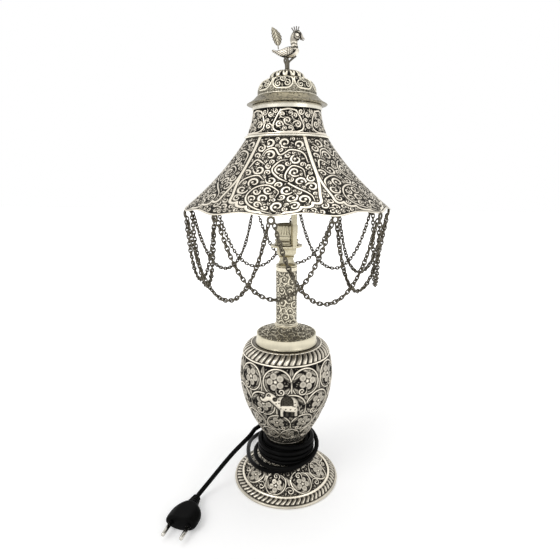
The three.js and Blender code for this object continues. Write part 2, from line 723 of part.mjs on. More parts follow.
// The outer swags lean out over the inner ones where they cross
function swagLine(i) {
  const lean = deg(i % 2 ? -SWAG_LEAN : SWAG_LEAN);
  const middle = eyeAngle(i + 1);
  const down = v3(Math.sin(lean) * Math.cos(middle), Math.sin(lean) * Math.sin(middle), -Math.cos(lean));
  const sag = i % 2 ? INNER_SAG : OUTER_SAG;
  const from = eyeCentre(i);
  const to = eyeCentre((i + 2) % SCALLOPS);
  const across = to.clone().sub(from).normalize().multiplyScalar(SWAG_SPREAD);
  const below = v3(0, 0, SWAG_DROP);
  return new HangingLine(from.add(across).sub(below), to.sub(across).sub(below), sag, down);
}

// A chain as one bar whose flat section turns a quarter from link to link, as the links do
function swag(i) {
  const line = swagLine(i);
  const across = line.end.clone().sub(line.start).normalize();
  const out = line.down.clone().cross(across);
  const rings = Array.from({ length: CHAIN_LINKS + 1 }, (_, link) => {
    const share = link / CHAIN_LINKS;
    const centre = line.getPoint(share);
    const normal = out.clone().cross(line.getTangent(share));
    const wide = share % 1 ? CHAIN_WIDTH / 2 : CHAIN_WIRE / 2;
    const halves = link % 2 ? [CHAIN_WIRE / 2, wide] : [wide, CHAIN_WIRE / 2];
    return [[1, 1], [-1, 1], [-1, -1], [1, -1]].map(([a, b]) =>
      centre.clone().addScaledVector(out, a * halves[0]).addScaledVector(normal, b * halves[1]),
    );
  });
  return joined(rings, false, false);
}

// Dome and flange of the lid in one sheet, with a bore for the finial's stem
const domeCurve = (path, inset) =>
  path.bezierCurveTo(
    LID_DOME_RADIUS - inset,
    domeBottom + 0.58 * LID_DOME_HEIGHT,
    0.86 * LID_DOME_RADIUS,
    domeTop - 0.08 * LID_DOME_HEIGHT - inset,
    LID_CROWN_RADIUS,
    domeTop - inset,
  );

function lidDome() {
  const outer = new THREE.Path()
    .moveTo(LID_FLANGE_RADIUS, lidBottom)
    .lineTo(LID_FLANGE_RADIUS, lidBottom + LID_FLANGE_EDGE)
    .lineTo(LID_DOME_RADIUS, domeBottom);
  domeCurve(outer, 0).lineTo(LID_BORE, domeTop);
  const inner = new THREE.Path().moveTo(LID_DOME_RADIUS - WALL, domeBottom);
  domeCurve(inner, WALL).lineTo(LID_BORE, domeTop - WALL);
  const under = [v2(COLLAR_TOP_RADIUS - WALL, lidBottom)];
  const section = [...outer.getPoints(CURVE_STEPS + 2), ...inner.getPoints(CURVE_STEPS).reverse(), ...under];
  return turned(section, WIDE_FACETS);
}

// Ring under the flange that drops into the collar
function lidSpigot() {
  const outer = COLLAR_TOP_RADIUS - WALL - SEAT_GAP;
  const top = lidBottom - SEAT_GAP;
  const points = [
    v2(outer - WALL, top - SPIGOT_HEIGHT),
    v2(outer, top - SPIGOT_HEIGHT),
    v2(outer, top),
    v2(outer - WALL, top),
  ];
  return turned(points, WIDE_FACETS);
}

// Petals that stand in a small hollow dome on the crown of the lid
function petalCap() {
  const under = domeTop + SEAT_GAP;
  const at = (share) => under + share * PETAL_HEIGHT;
  const wall = PETAL_THICKNESS;
  return around(PETALS * 2, (angle) => {
    const reach = PETAL_REACH - PETAL_NOTCH * Math.abs(Math.sin((PETALS * angle) / 2)) ** 3;
    return [
      v2(LID_BORE, at(1) - wall),
      v2(0.44 * PETAL_REACH, at(0.92) - wall),
      v2(0.7 * PETAL_REACH - wall / 2, at(0.7) - wall),
      v2(reach - wall, under),
      v2(reach, under),
      v2(0.96 * reach, at(0.3)),
      v2(0.76 * PETAL_REACH, at(0.72)),
      v2(0.46 * PETAL_REACH, at(0.93)),
      v2(LID_BORE, at(1)),
    ];
  });
}

// Knopped stem between the petals and the bird
function finialStem() {
  const at = (share) => stemBottom + share * STEM_HEIGHT;
  const body = new THREE.Path()
    .moveTo(0, stemBottom)
    .lineTo(1.6 * STEM_RADIUS, stemBottom)
    .lineTo(STEM_RADIUS, at(0.2))
    .lineTo(0.8 * STEM_RADIUS, at(0.35))
    .lineTo(1.5 * STEM_RADIUS, at(0.55))
    .lineTo(0.8 * STEM_RADIUS, at(0.75))
    .lineTo(0.8 * STEM_RADIUS, stemTop)
    .lineTo(0, stemTop)
    .getPoints(1);
  return new THREE.LatheGeometry(body, SMALL_FACETS).rotateX(Math.PI / 2);
}

// Oval sections along a spine in the bird's upright plane; each stop is (forward, up, half height, half width)
function limb(stops) {
  const sides = 8;
  const spine = stops.map(([x, z]) => v3(x, 0, z));
  const rings = stops.map(([, , high, wide], i) => {
    const along = spine[Math.min(i + 1, spine.length - 1)].clone().sub(spine[Math.max(i - 1, 0)]).normalize();
    const up = v3(0, 1, 0).cross(along).negate();
    return Array.from({ length: sides }, (_, j) => {
      const turn = (2 * Math.PI * j) / sides;
      return spine[i].clone().addScaledVector(v3(0, 1, 0), wide * Math.cos(turn)).addScaledVector(up, high * Math.sin(turn));
    });
  });
  return joined(rings, false, true);
}

// Fan of strands on a common root, made at the origin
function crest() {
  const root = 0.5 * BIRD_GIRTH;
  const strand = (2 * root) / (2 * CREST_STRANDS - 1);
  const fork = 0.3 * CREST_HEIGHT;
  const fan = new THREE.Shape().moveTo(-root, -fork).lineTo(root, -fork);
  for (let i = CREST_STRANDS - 1; i >= 0; i--) {
    const left = -root + 2 * i * strand;
    const lean = 0.6 * (left + strand / 2) - 0.25 * CREST_HEIGHT;
    fan.lineTo(left + strand, fork).lineTo(left + strand + lean, CREST_HEIGHT);
    fan.lineTo(left + lean, CREST_HEIGHT).lineTo(left, fork);
  }
  return new THREE.ExtrudeGeometry(fan, { depth: CREST_THICKNESS, bevelEnabled: false })
    .rotateX(Math.PI / 2)
    .translate(0, CREST_THICKNESS / 2, 0);
}

// Bird: a boat-shaped body and tail, a neck with its head and crest, a beak and a bent leg on the stem
const birdBase = stemTop + SEAT_GAP;
const g = BIRD_GIRTH;
const birdUp = (share) => birdBase + share * BIRD_HEIGHT;
const headPlace = [1.95 * g, birdUp(0.9)];

function birdBody() {
  const trunk = limb([
    [-3.4 * g, birdUp(0.35), 0.12 * g, 0.24 * g],
    [-2.3 * g, birdUp(0.27), 0.44 * g, 0.62 * g],
    [-1.1 * g, birdUp(0.25), 0.86 * g, 0.92 * g],
    [0.1 * g, birdUp(0.26), 1.2 * g, 1.1 * g],
    [1.2 * g, birdUp(0.28), 1.2 * g, 1.1 * g],
    [2.0 * g, birdUp(0.32), 0.84 * g, 0.84 * g],
    [2.4 * g, birdUp(0.34), 0.26 * g, 0.3 * g],
  ]);
  const neck = limb([
    [1.3 * g, birdUp(0.28), 0.9 * g, 0.9 * g],
    [1.55 * g, birdUp(0.5), 0.84 * g, 0.76 * g],
    [1.45 * g, birdUp(0.68), 0.76 * g, 0.7 * g],
    [1.65 * g, birdUp(0.8), 0.96 * g, 0.82 * g],
    [headPlace[0], headPlace[1], 1.06 * g, 0.86 * g],
    [2.2 * g, birdUp(1.02), 0.6 * g, 0.5 * g],
  ]);
  const beak = limb([
    [1.9 * g, birdUp(0.88), 0.6 * g, 0.5 * g],
    [2.8 * g, birdUp(0.82), 0.34 * g, 0.28 * g],
    [3.7 * g, birdUp(0.7), 0.07 * g, 0.07 * g],
  ]);
  const leg = limb([
    [0, birdBase, 0.36 * g, 0.36 * g],
    [0, birdUp(0.06), 0.4 * g, 0.4 * g],
    [0.3 * g, birdUp(0.16), 0.6 * g, 0.5 * g],
  ]);
  const plume = crest().translate(headPlace[0] - 0.3 * g, 0, headPlace[1] + 0.62 * g);
  return shape(solid(trunk).add(solid(neck)).add(solid(beak)).add(solid(leg)).add(solid(plume)));
}

// A flat leaf on a thin stalk that stands on the bird's tail
function tailFeather() {
  const root = v2(-2.05 * g, birdUp(0.27) + 0.62 * g + SEAT_GAP);
  const stalk = 0.15 * FEATHER_HEIGHT;
  const half = FEATHER_WIDTH / 2;
  const leaf = new THREE.Shape()
    .moveTo(-FEATHER_THICKNESS / 2, 0)
    .lineTo(FEATHER_THICKNESS / 2, 0)
    .lineTo(FEATHER_THICKNESS / 2, stalk)
    .bezierCurveTo(1.2 * half, 0.3 * FEATHER_HEIGHT, 0.8 * half, 0.6 * FEATHER_HEIGHT, -0.6 * half, FEATHER_HEIGHT)
    .bezierCurveTo(-1.5 * half, 0.7 * FEATHER_HEIGHT, -1.3 * half, 0.35 * FEATHER_HEIGHT, -FEATHER_THICKNESS / 2, stalk);
  return new THREE.ExtrudeGeometry(leaf, { depth: FEATHER_THICKNESS, bevelEnabled: false, curveSegments: CURVE_STEPS + 2 })
    .rotateX(Math.PI / 2)
    .translate(root.x, FEATHER_THICKNESS / 2, root.y);
}

const flexRadius = CORD_DIAMETER / 2;

// Bush in the back of the foot, with a lip at its mouth
function cordGland() {
  const bore = CORD_DIAMETER / 2 + SEAT_GAP;
  const points = [
    v2(bore, 0),
    v2(GLAND_RADIUS, 0),
    v2(GLAND_RADIUS, GLAND_LENGTH - 2 * GLAND_LIP),
    v2(GLAND_RADIUS + GLAND_LIP, GLAND_LENGTH - GLAND_LIP),
    v2(GLAND_RADIUS, GLAND_LENGTH),
    v2(bore, GLAND_LENGTH),
  ];
  return turned(points, SMALL_FACETS).rotateX(-Math.PI / 2).translate(0, GLAND_REACH - GLAND_LENGTH, GLAND_LEVEL);
}

// Flex inside the lamp: straight down the tie tube, then in a bend across the foot to the back of the bush
function innerFlex() {
  const back = GLAND_REACH - GLAND_LENGTH - SEAT_GAP;
  const bend = new THREE.CubicBezierCurve3(
    v3(0, 0, tieBottom),
    v3(0, 0, GLAND_LEVEL),
    v3(0, 0.4 * back, GLAND_LEVEL),
    v3(0, back, GLAND_LEVEL),
  ).getPoints(7);
  const sides = 8;
  const rings = [v3(0, 0, tieTop), ...bend].map((centre, i) => {
    const share = Math.max(i - 1, 0) / 7;
    const lean = (Math.PI / 2) * THREE.MathUtils.smoothstep(share, 0, 0.75);
    const away = v3(0, Math.cos(lean), Math.sin(lean));
    return Array.from({ length: sides }, (_, j) => {
      const angle = (2 * Math.PI * j) / sides;
      const point = centre.clone().addScaledVector(v3(1, 0, 0), flexRadius * Math.cos(angle));
      return point.addScaledVector(away, flexRadius * Math.sin(angle));
    });
  });
  return joined(rings, false, false);
}

// Cord wound on the waist: three turns up, three turns down outside them, then a last turn that climbs over all.
// Angles count up anticlockwise seen from above, and end where the free lead leaves.
const turn = 2 * Math.PI;
const layerStep = WINDING_PITCH;
const lastTurnAngle = deg(330);
const windingEnd = deg(WINDING_END_ANGLE) + turn;
const overStart = windingEnd - lastTurnAngle;
const outerEnd = overStart - turn / 2;
const outerStart = outerEnd - WINDING_TURNS * turn;
const innerEnd = outerStart - turn / 2;
const windingStart = innerEnd - WINDING_TURNS * turn;
const stepOutTurns = 0.25;
const windingTop = WINDING_BOTTOM + (WINDING_TURNS + stepOutTurns) * WINDING_PITCH;
const ease = (from, to, angle) => THREE.MathUtils.smoothstep(angle, from, to);

class CordWinding extends THREE.Curve {
  getPoint(share) {
    const angle = windingStart + share * (windingEnd - windingStart);
    const radius =
      WINDING_INNER_RADIUS + layerStep * (ease(innerEnd, outerStart, angle) + ease(outerEnd, overStart, angle));
    const inner = Math.min((angle - windingStart) / turn, WINDING_TURNS + stepOutTurns);
    const down = (angle - innerEnd) / turn - stepOutTurns;
    const outer = THREE.MathUtils.clamp(down, 0, WINDING_TURNS + stepOutTurns);
    const wound = WINDING_BOTTOM + (inner - outer) * WINDING_PITCH;
    const under = THREE.MathUtils.lerp(wound, LAST_TURN_BOTTOM, ease(outerEnd, overStart, angle));
    const height = THREE.MathUtils.lerp(under, windingTop, ease(overStart + turn / 8, windingEnd - turn / 12, angle));
    return v3(radius * Math.cos(angle), radius * Math.sin(angle), height);
  }
}

const woundLine = new CordWinding();
const woundStart = woundLine.getPoint(0);
const woundEnd = woundLine.getPoint(1);
const startWay = woundLine.getTangent(0);
const endWay = woundLine.getTangent(1);
const LOOP_STEPS = 18;
const windingLoops = (windingEnd - windingStart) / turn;

// The wound stretch with its straight ends
function windingPath() {
  const path = new THREE.CurvePath();
  path.add(new THREE.LineCurve3(woundStart.clone().addScaledVector(startWay, -CORD_DIAMETER), woundStart));
  path.add(woundLine);
  path.add(new THREE.LineCurve3(woundEnd, woundEnd.clone().addScaledVector(endWay, CORD_DIAMETER)));
  return path;
}

// Least clear distance between stretches of the winding that are more than half a loop apart
function leastGap() {
  const perLoop = 4 * LOOP_STEPS;
  const count = Math.round(windingLoops * perLoop);
  const points = Array.from({ length: count + 1 }, (_, i) => woundLine.getPoint(i / count));
  let least = Infinity;
  for (let i = 0; i < points.length; i++) {
    for (let j = i + perLoop / 2; j < points.length; j++) {
      least = Math.min(least, points[i].distanceTo(points[j]));
    }
  }
  return least - CORD_DIAMETER;
}

function cordWinding() {
  console.log(`cord winding: least gap to itself ${leastGap().toFixed(2)} mm over ${windingLoops.toFixed(1)} loops`);
  return tube(windingPath(), CORD_DIAMETER / 2, 6, Math.round(windingLoops * LOOP_STEPS) + 2);
}

// Three points along a straight end of the cord
function straight(place, way, from, to) {
  return [from, (from + to) / 2, to].map((distance) => place.clone().addScaledVector(way, distance));
}

// From the outlet across the table behind the foot, round its left side and in to the waist
function cordTail() {
  const points = [
    ...straight(v3(0, GLAND_REACH, GLAND_LEVEL), v3(0, 1, 0), SEAT_GAP, SEAT_GAP + CORD_DIAMETER),
    v3(0, 60.4, 12),
    v3(-0.6, 67, 9.8),
    v3(-3.4, 75.5, 6),
    v3(-10, 83, 3.4),
    v3(-20, 87, 2.8),
    v3(-31, 86, 2.8),
    v3(-41, 80, 2.8),
    v3(-48, 70, 3.2),
    v3(-51.6, 57, 5.4),
    v3(-52, 44, 9),
    v3(-50.6, 30, 12.4),
    v3(-48, 16, 15.2),
    v3(-44, 2, 17.6),
    v3(-37.8, -11.5, 19.8),
    v3(-28.4, -22.6, 21.8),
    v3(-16.2, -29.6, 23.8),
    v3(-2.4, -31.4, 25.6),
    v3(10.6, -27.6, 26.8),
    v3(20.4, -18.4, 27.8),
    v3(25.2, -6.8, 28.7),
    v3(25, 5.3, 29.4),
    v3(19.5, 16.4, 30.1),
    v3(8.7, 23.9, 30.8),
    v3(-4.5, 25, 31.5),
    v3(-16.2, 19.5, 32.2),
    v3(-21.4, 13.9, 32.55),
    ...straight(woundStart, startWay, -2 * CORD_DIAMETER - SEAT_GAP, -CORD_DIAMETER - SEAT_GAP),
  ];
  return tube(new THREE.CatmullRomCurve3(points, false, "centripetal"), CORD_DIAMETER / 2, 8, 34);
}

// The plug lies on the table, its pins away from the lamp
const plugWay = v3(Math.cos(deg(PLUG_HEADING)), Math.sin(deg(PLUG_HEADING)), 0);
const plugCentre = v3(...PLUG_PLACE, PLUG_THICKNESS / 2 + SEAT_GAP);
const plugBack = PLUG_LENGTH / 2 + SEAT_GAP;

// Free stretch from the winding down to the plug's sleeve
function cordLead() {
  const end = plugBack + PLUG_SLEEVE_LENGTH + SEAT_GAP;
  const points = [
    ...straight(woundEnd, endWay, CORD_DIAMETER + SEAT_GAP, 2 * CORD_DIAMETER + SEAT_GAP),
    v3(-40.8, -5.8, 50.2),
    v3(-47.4, -14.8, 45.8),
    v3(-55, -21.8, 39.6),
    v3(-62.2, -28, 32.6),
    v3(-69, -34.4, 25.4),
    v3(-75.2, -40.6, 18.8),
    v3(-80.6, -46.4, 13.2),
    v3(-84.8, -51.8, 9.2),
    ...straight(plugCentre, plugWay, -end - CORD_DIAMETER, -end),
  ];
  return tube(new THREE.CatmullRomCurve3(points, false, "centripetal"), CORD_DIAMETER / 2, 8, 12);
}

// Plug pieces are made with the pins along +Y and set down by their group
function plugBody() {
  const half = PLUG_WIDTH / 2;
  const back = -PLUG_LENGTH / 2 + PLUG_EDGE;
  const front = PLUG_LENGTH / 2 - PLUG_EDGE;
  const side = half - PLUG_EDGE;
  const outline = new THREE.Shape()
    .moveTo(-SLEEVE_ROOT_RADIUS, back)
    .lineTo(SLEEVE_ROOT_RADIUS, back)
    .quadraticCurveTo(side, back + PLUG_CORNER / 2, side, front - PLUG_CORNER)
    .quadraticCurveTo(side, front, side - PLUG_CORNER, front)
    .lineTo(PLUG_CORNER - side, front)
    .quadraticCurveTo(-side, front, -side, front - PLUG_CORNER)
    .quadraticCurveTo(-side, back + PLUG_CORNER / 2, -SLEEVE_ROOT_RADIUS, back);
  return new THREE.ExtrudeGeometry(outline, {
    depth: PLUG_THICKNESS - 2 * PLUG_EDGE,
    curveSegments: CURVE_STEPS + 1,
    bevelThickness: PLUG_EDGE,
    bevelSize: PLUG_EDGE,
    bevelSegments: 2,
  }).translate(0, 0, PLUG_EDGE - PLUG_THICKNESS / 2);
}

function plugSleeve() {
  const points = [v2(0, 0), v2(SLEEVE_ROOT_RADIUS, 0)];
  const pitch = PLUG_SLEEVE_LENGTH / PLUG_SLEEVE_RIBS;
  for (let i = 0; i < PLUG_SLEEVE_RIBS; i++) {
    const share = (i + 0.5) / PLUG_SLEEVE_RIBS;
    const radius = THREE.MathUtils.lerp(SLEEVE_ROOT_RADIUS, SLEEVE_END_RADIUS, share);
    points.push(v2(radius, (i + 0.55) * pitch), v2(radius - GLAND_LIP, (i + 0.65) * pitch));
    points.push(v2(radius - GLAND_LIP, (i + 0.95) * pitch));
  }
  points.push(v2(SLEEVE_END_RADIUS - GLAND_LIP, PLUG_SLEEVE_LENGTH), v2(0, PLUG_SLEEVE_LENGTH));
  return new THREE.LatheGeometry(points, SMALL_FACETS).rotateX(Math.PI).translate(0, -plugBack, 0);
}

function plugPin(side) {
  const root = PLUG_LENGTH / 2 + SEAT_GAP;
  const points = [
    v2(0, root),
    v2(PIN_RADIUS, root),
    v2(PIN_RADIUS, root + PIN_LENGTH - PIN_RADIUS),
    v2(PIN_RADIUS * 0.6, root + PIN_LENGTH),
    v2(0, root + PIN_LENGTH),
  ];
  return new THREE.LatheGeometry(points, 10).translate((side * PIN_SPACING) / 2, 0, 0);
}

const finish = (color, roughness, metalness) => () => new THREE.MeshStandardMaterial({ color, roughness, metalness });
const chased = finish(0xc9c4b6, 0.34, 1);
const polished = finish(0xdcd8ca, 0.18, 1);
const oxidised = finish(0x5d5a52, 0.42, 1);
const plated = finish(0xb3ad98, 0.38, 1);
const brass = finish(0xb08d4a, 0.36, 1);
const porcelain = finish(0xe8e4da, 0.3, 0);
const blackVinyl = finish(0x101012, 0.45, 0);
const nickel = finish(0xc4c2bc, 0.22, 1);

const lamp = new THREE.Group();

function add(name, geometry, material, group = lamp) {
  const mesh = new THREE.Mesh(geometry, material());
  mesh.name = name;
  group.add(mesh);
}

add("foot", foot(), chased);
add("waist", waist(), chased);
add("vase_bowl", vaseBowl(), chased);
add("vase_shoulder", vaseShoulder(), chased);
add("neck_band", neckBand(), polished);
add("neck_cap", neckCap(), chased);
add("column", column(), chased);
add("capital", capital(), plated);
add("tie_tube", tieTube(), brass);
add("tie_nut", tieNut(), brass);
add("tie_washer", tieWasher(), brass);
add("holder_base", holderBase(), plated);
add("holder_insulator", insulator(), porcelain);
add("holder_contact", centreContact(), brass);
add("holder_sleeve", holderSleeve(), plated);
add("inner_flex", innerFlex(), blackVinyl);

const harpGroup = new THREE.Group();
harpGroup.rotation.z = deg(HARP_TURN);
add("harp", harp(), plated, harpGroup);
lamp.add(harpGroup);
add("clamp_nut", clampNut(), brass);

add("shade_spider", spider(), brass);
add("shade_collar", collar(), chased);
add("seam_ring", seamRing(), polished);
add("shade_skirt", skirt(), chased);
for (let i = 0; i < SCALLOPS; i++) {
  const number = String(i + 1).padStart(2, "0");
  add(`eye_ring_${number}`, eyeRing(i), oxidised);
  add(`chain_swag_${number}`, swag(i), oxidised);
}

add("lid_dome", lidDome(), chased);
add("lid_spigot", lidSpigot(), plated);
add("petal_cap", petalCap(), chased);
add("finial_stem", finialStem(), chased);
add("bird_body", birdBody(), chased);
add("tail_feather", tailFeather(), plated);

add("cord_gland", cordGland(), blackVinyl);
add("cord_tail", cordTail(), blackVinyl);
add("cord_winding", cordWinding(), blackVinyl);
add("cord_lead", cordLead(), blackVinyl);

const plug = new THREE.Group();
plug.position.copy(plugCentre);
plug.rotation.z = deg(PLUG_HEADING) - Math.PI / 2;
add("plug_body", plugBody(), blackVinyl, plug);
add("plug_sleeve", plugSleeve(), blackVinyl, plug);
add("plug_pin_left", plugPin(-1), nickel, plug);
add("plug_pin_right", plugPin(1), nickel, plug);
lamp.add(plug);

export default lamp;
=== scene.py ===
"""Table lamp in chased white metal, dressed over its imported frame. In millimetres until a mesh is made."""

import math

import bmesh
import bpy
import numpy as np
from mathutils import Matrix, Vector


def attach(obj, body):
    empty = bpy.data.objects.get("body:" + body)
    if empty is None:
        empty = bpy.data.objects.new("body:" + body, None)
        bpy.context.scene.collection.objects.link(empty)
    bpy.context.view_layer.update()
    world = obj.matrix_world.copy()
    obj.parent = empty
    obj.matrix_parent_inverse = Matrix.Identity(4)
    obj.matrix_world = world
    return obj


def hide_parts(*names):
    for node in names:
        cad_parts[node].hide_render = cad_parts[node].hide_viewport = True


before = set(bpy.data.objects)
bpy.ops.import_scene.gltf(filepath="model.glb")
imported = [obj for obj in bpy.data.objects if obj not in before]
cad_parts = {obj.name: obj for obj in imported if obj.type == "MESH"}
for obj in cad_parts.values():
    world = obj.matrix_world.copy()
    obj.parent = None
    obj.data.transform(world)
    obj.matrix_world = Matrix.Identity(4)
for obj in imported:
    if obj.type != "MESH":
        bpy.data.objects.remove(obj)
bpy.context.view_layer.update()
scene = bpy.context.scene

MM = 0.001
TAU = 2 * math.pi
FRONT = -math.pi / 2
UPRIGHT = 1.57  # heading of a leaf that points straight up its meridian
SIDES = (-1, 1)
PANELS = 6
EYES = 12
CREASE = math.radians(38)

# Levels of the stack, shared with the frame
WAIST = (32.3, 52.7)
VASE = (53.0, 154.4)
SHOULDER = (154.7, 165.7)
NECK = (166.0, 176.6)
CAP = (174.3, 184.7)
COLUMN = (185.0, 249.0)
CAPITAL = 249.3
HOLDER = 272.1
SLEEVE = 281.8
SKIRT = (310.3, 376.3)
SEAM = (376.6, 378.8)
COLLAR_TOP = 407.5
LID = 407.8
DOME = (415.8, 433.4)
PETALS_TOP = 438.9
STEM = (439.2, 449.2)
BIRD = 449.5
GLAND = 12.6
GLAND_HOLE = 4.9
CORD_RADIUS = 2.5


def photo_camera(distance=465, height=342.2, heading=math.radians(7), pitch=13.1, yaw=0.85):
    """The view of the photo, fitted to the lamp's level rings."""
    data = bpy.data.cameras.new("photo_camera")
    data.sensor_width = 36
    data.lens = 28.96
    camera = bpy.data.objects.new("photo_camera", data)
    camera.location = Vector((distance * math.sin(heading), -distance * math.cos(heading), height)) * MM
    camera.rotation_euler = (math.radians(90 - pitch), 0, heading + math.radians(yaw))
    scene.collection.objects.link(camera)
    scene.camera = camera


photo_camera()


class Tone:
    """A shader socket on which plain arithmetic works."""

    def __init__(self, finish, socket):
        self.finish, self.socket = finish, socket

    def sum_of(self, operation, first, second):
        return self.finish.node("Math", {"operation": operation}, {0: first, 1: second})

    def __add__(self, other):
        return self.sum_of("ADD", self, other)

    def __radd__(self, other):
        return self.sum_of("ADD", other, self)

    def __sub__(self, other):
        return self.sum_of("SUBTRACT", self, other)

    def __mul__(self, other):
        return self.sum_of("MULTIPLY", self, other)

    def __rmul__(self, other):
        return self.sum_of("MULTIPLY", other, self)


LOOKS = {}


class Finish:
    """A material in the making, kept among the looks under its name."""

    def __init__(self, name, **constants):
        material = LOOKS[name] = bpy.data.materials.new(name)
        material.use_nodes = True
        self.tree = material.node_tree
        self.shader = self.tree.nodes["Principled BSDF"]
        for socket, value in constants.items():
            self.shader.inputs[socket.replace("_", " ").title().replace("Ior", "IOR")].default_value = value

    def node(self, kind, settings=None, inputs=None, output=0):
        made = self.tree.nodes.new("ShaderNode" + kind)
        for name, value in (settings or {}).items():
            setattr(made, name, value)
        for name, value in (inputs or {}).items():
            if isinstance(value, Tone):
                self.tree.links.new(value.socket, made.inputs[name])
            else:
                made.inputs[name].default_value = value
        return Tone(self, made.outputs[output])

    def feed(self, socket, tone):
        self.tree.links.new(tone.socket, self.shader.inputs[socket])

    def place(self):
        return self.node("TexCoord", output="Object")

    def noise(self, per_metre, detail, rough=0.5, stretch=None):
        where = self.place()
        if stretch:
            where = self.node("Mapping", inputs={"Vector": where, "Scale": stretch})
        spread = {"Vector": where, "Scale": per_metre, "Detail": detail, "Roughness": rough}
        return self.node("TexNoise", inputs=spread)

    def ramp(self, tone, *stops):
        """Colours, or single levels, at places along a tone."""
        made = self.node("ValToRGB", inputs={"Fac": tone})
        elements = made.socket.node.color_ramp.elements
        while len(elements) < len(stops):
            elements.new(0.5)
        for element, (place, colour) in zip(elements, stops):
            element.position = place
            element.color = (*colour, 1) if isinstance(colour, tuple) else (colour, colour, colour, 1)
        return made

    def bump(self, tone, strength, distance):
        spread = {"Height": tone, "Strength": strength, "Distance": distance * MM}
        self.feed("Normal", self.node("Bump", inputs=spread))


def chased_silver(name, ground, middle, bright):
    """Bright worn ridges over blackened ground, told apart by the chased height of each point; the grey up
    the flanks is painted shade and the brightest ridge tops a painted highlight.
    """
    finish = Finish(name, specular_ior_level=0.12)
    height = finish.node("Attribute", {"attribute_name": "relief"}, output="Fac")
    grain = finish.noise(1500, 3, 0.65)
    cloud = finish.noise(60, 2)
    # Tone by height: black in the hollows, painted shade up the flanks, a painted highlight on the ridge tops
    worn = height + (grain - 0.5) * 0.34 + (cloud - 0.5) * 0.2
    half = tuple((m + b) / 2.6 for m, b in zip(middle, bright))
    finish.feed("Base Color", finish.ramp(worn, (0.12, ground), (0.42, middle), (0.66, half), (0.92, bright)))
    finish.feed("Metallic", finish.ramp(worn, (0.16, 0), (0.5, 1)))
    finish.feed("Roughness", finish.ramp(worn, (0.1, 0.8), (0.5, 0.42), (0.95, 0.27)))
    finish.bump(grain, 0.25, 0.3)


def plain_silver(name, colour, roughness, streak=(1, 1, 14), spotting=0.15, dull=0.66):
    """Plain worked metal: faint lines along the stretch, soft clouds and small dull spots. Lines laid flat
    are turning lines; stood upright they are painted reflections in soft streaks.
    """
    finish = Finish(name, metallic=1.0)
    lines = finish.noise(160, 4, 0.65, streak)
    cloud = finish.noise(45, 2)
    spots = finish.noise(520, 2, 0.7)
    tone = (0.7 - spotting) * cloud + 0.3 * lines + spotting * (spots * 2.4 - 0.7)
    low = tuple(c * dull for c in colour)
    high = tuple(min(1, c * 1.14) for c in colour)
    finish.feed("Base Color", finish.ramp(tone, (0.3, low), (0.5, colour), (0.72, high)))
    finish.feed("Roughness", roughness - 0.08 + 0.16 * lines)
    finish.bump(lines, 0.08, 0.2)


def black_vinyl(name, roughness, grain_per_metre, depth):
    finish = Finish(name, specular_ior_level=0.04)
    cloud = finish.noise(90, 2)
    grain = finish.noise(grain_per_metre, 3, 0.6)
    tone = 0.6 * cloud + 0.4 * grain
    dark, light = (0.0015, 0.0015, 0.0016), (0.004, 0.0039, 0.0037)
    finish.feed("Base Color", finish.ramp(tone, (0.3, dark), (0.75, light)))
    finish.feed("Roughness", roughness - 0.06 + 0.14 * grain)
    finish.bump(grain, 0.15, depth)


BLACK = (0.005, 0.0045, 0.004)
EVEN = (1, 1, 1)
# Openwork and lid dome: the black ground is painted shade, standing for the dark inside seen through the
# piercings
chased_silver("painted_openwork_silver", BLACK, (0.045, 0.04, 0.031), (0.88, 0.81, 0.68))
chased_silver("scroll_silver", (0.01, 0.009, 0.008), (0.12, 0.106, 0.083), (0.9, 0.832, 0.7))
chased_silver("lid_silver", BLACK, (0.12, 0.109, 0.08), (0.82, 0.765, 0.62))
chased_silver("engraved_silver", (0.028, 0.025, 0.019), (0.25, 0.226, 0.172), (0.76, 0.7, 0.55))
chased_silver("bird_silver", (0.012, 0.011, 0.01), (0.16, 0.146, 0.12), (0.86, 0.795, 0.68))
# Plain bands: the lines stand upright as soft streaks, painted reflections down the band
plain_silver("band_silver", (0.58, 0.535, 0.41), 0.3, (1, 1, 0.12), 0.04, 0.7)
plain_silver("wire_silver", (0.8, 0.76, 0.65), 0.28)
plain_silver("worn_plate", (0.58, 0.53, 0.385), 0.34)
plain_silver("turned_brass", (0.56, 0.4, 0.16), 0.32)
plain_silver("spotted_plate", (0.23, 0.204, 0.14), 0.4, EVEN, 0.5, 0.1)
plain_silver("dark_chain", (0.12, 0.106, 0.08), 0.36, EVEN, 0.2, 0.3)
plain_silver("dark_stem", (0.12, 0.109, 0.087), 0.4, EVEN)
plain_silver("nickel_pin", (0.62, 0.6, 0.55), 0.22)
black_vinyl("cord_vinyl", 0.32, 500, 0.1)
black_vinyl("plug_vinyl", 0.42, 900, 0.12)
glaze = Finish("glazed_white", roughness=0.22)
glaze.feed("Base Color", glaze.ramp(glaze.noise(120, 2), (0.3, (0.66, 0.64, 0.58)), (0.7, (0.8, 0.79, 0.75))))


def dress(piece, body, look, slot, *nodes):
    """Set a finished piece in the scene on its body, in place of the frame's nodes that it stands for."""
    scene.collection.objects.link(piece)
    piece.data.materials.append(LOOKS[look])
    if piece.type == "MESH":
        piece.data.polygons.foreach_set("use_smooth", [True] * len(piece.data.polygons))
    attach(piece, body)
    if nodes:
        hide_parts(*nodes)


def as_mesh(name, bm):
    mesh = bpy.data.meshes.new(name)
    bm.to_mesh(mesh)
    bm.free()
    return mesh


def as_piece(name, bm):
    return bpy.data.objects.new(name, as_mesh(name, bm))


def points_of(piece):
    flat = np.zeros(len(piece.data.vertices) * 3)
    piece.data.vertices.foreach_get("co", flat)
    return flat.reshape(-1, 3) / MM


def set_points(piece, points):
    piece.data.vertices.foreach_set("co", (points * MM).ravel())
    piece.data.update()


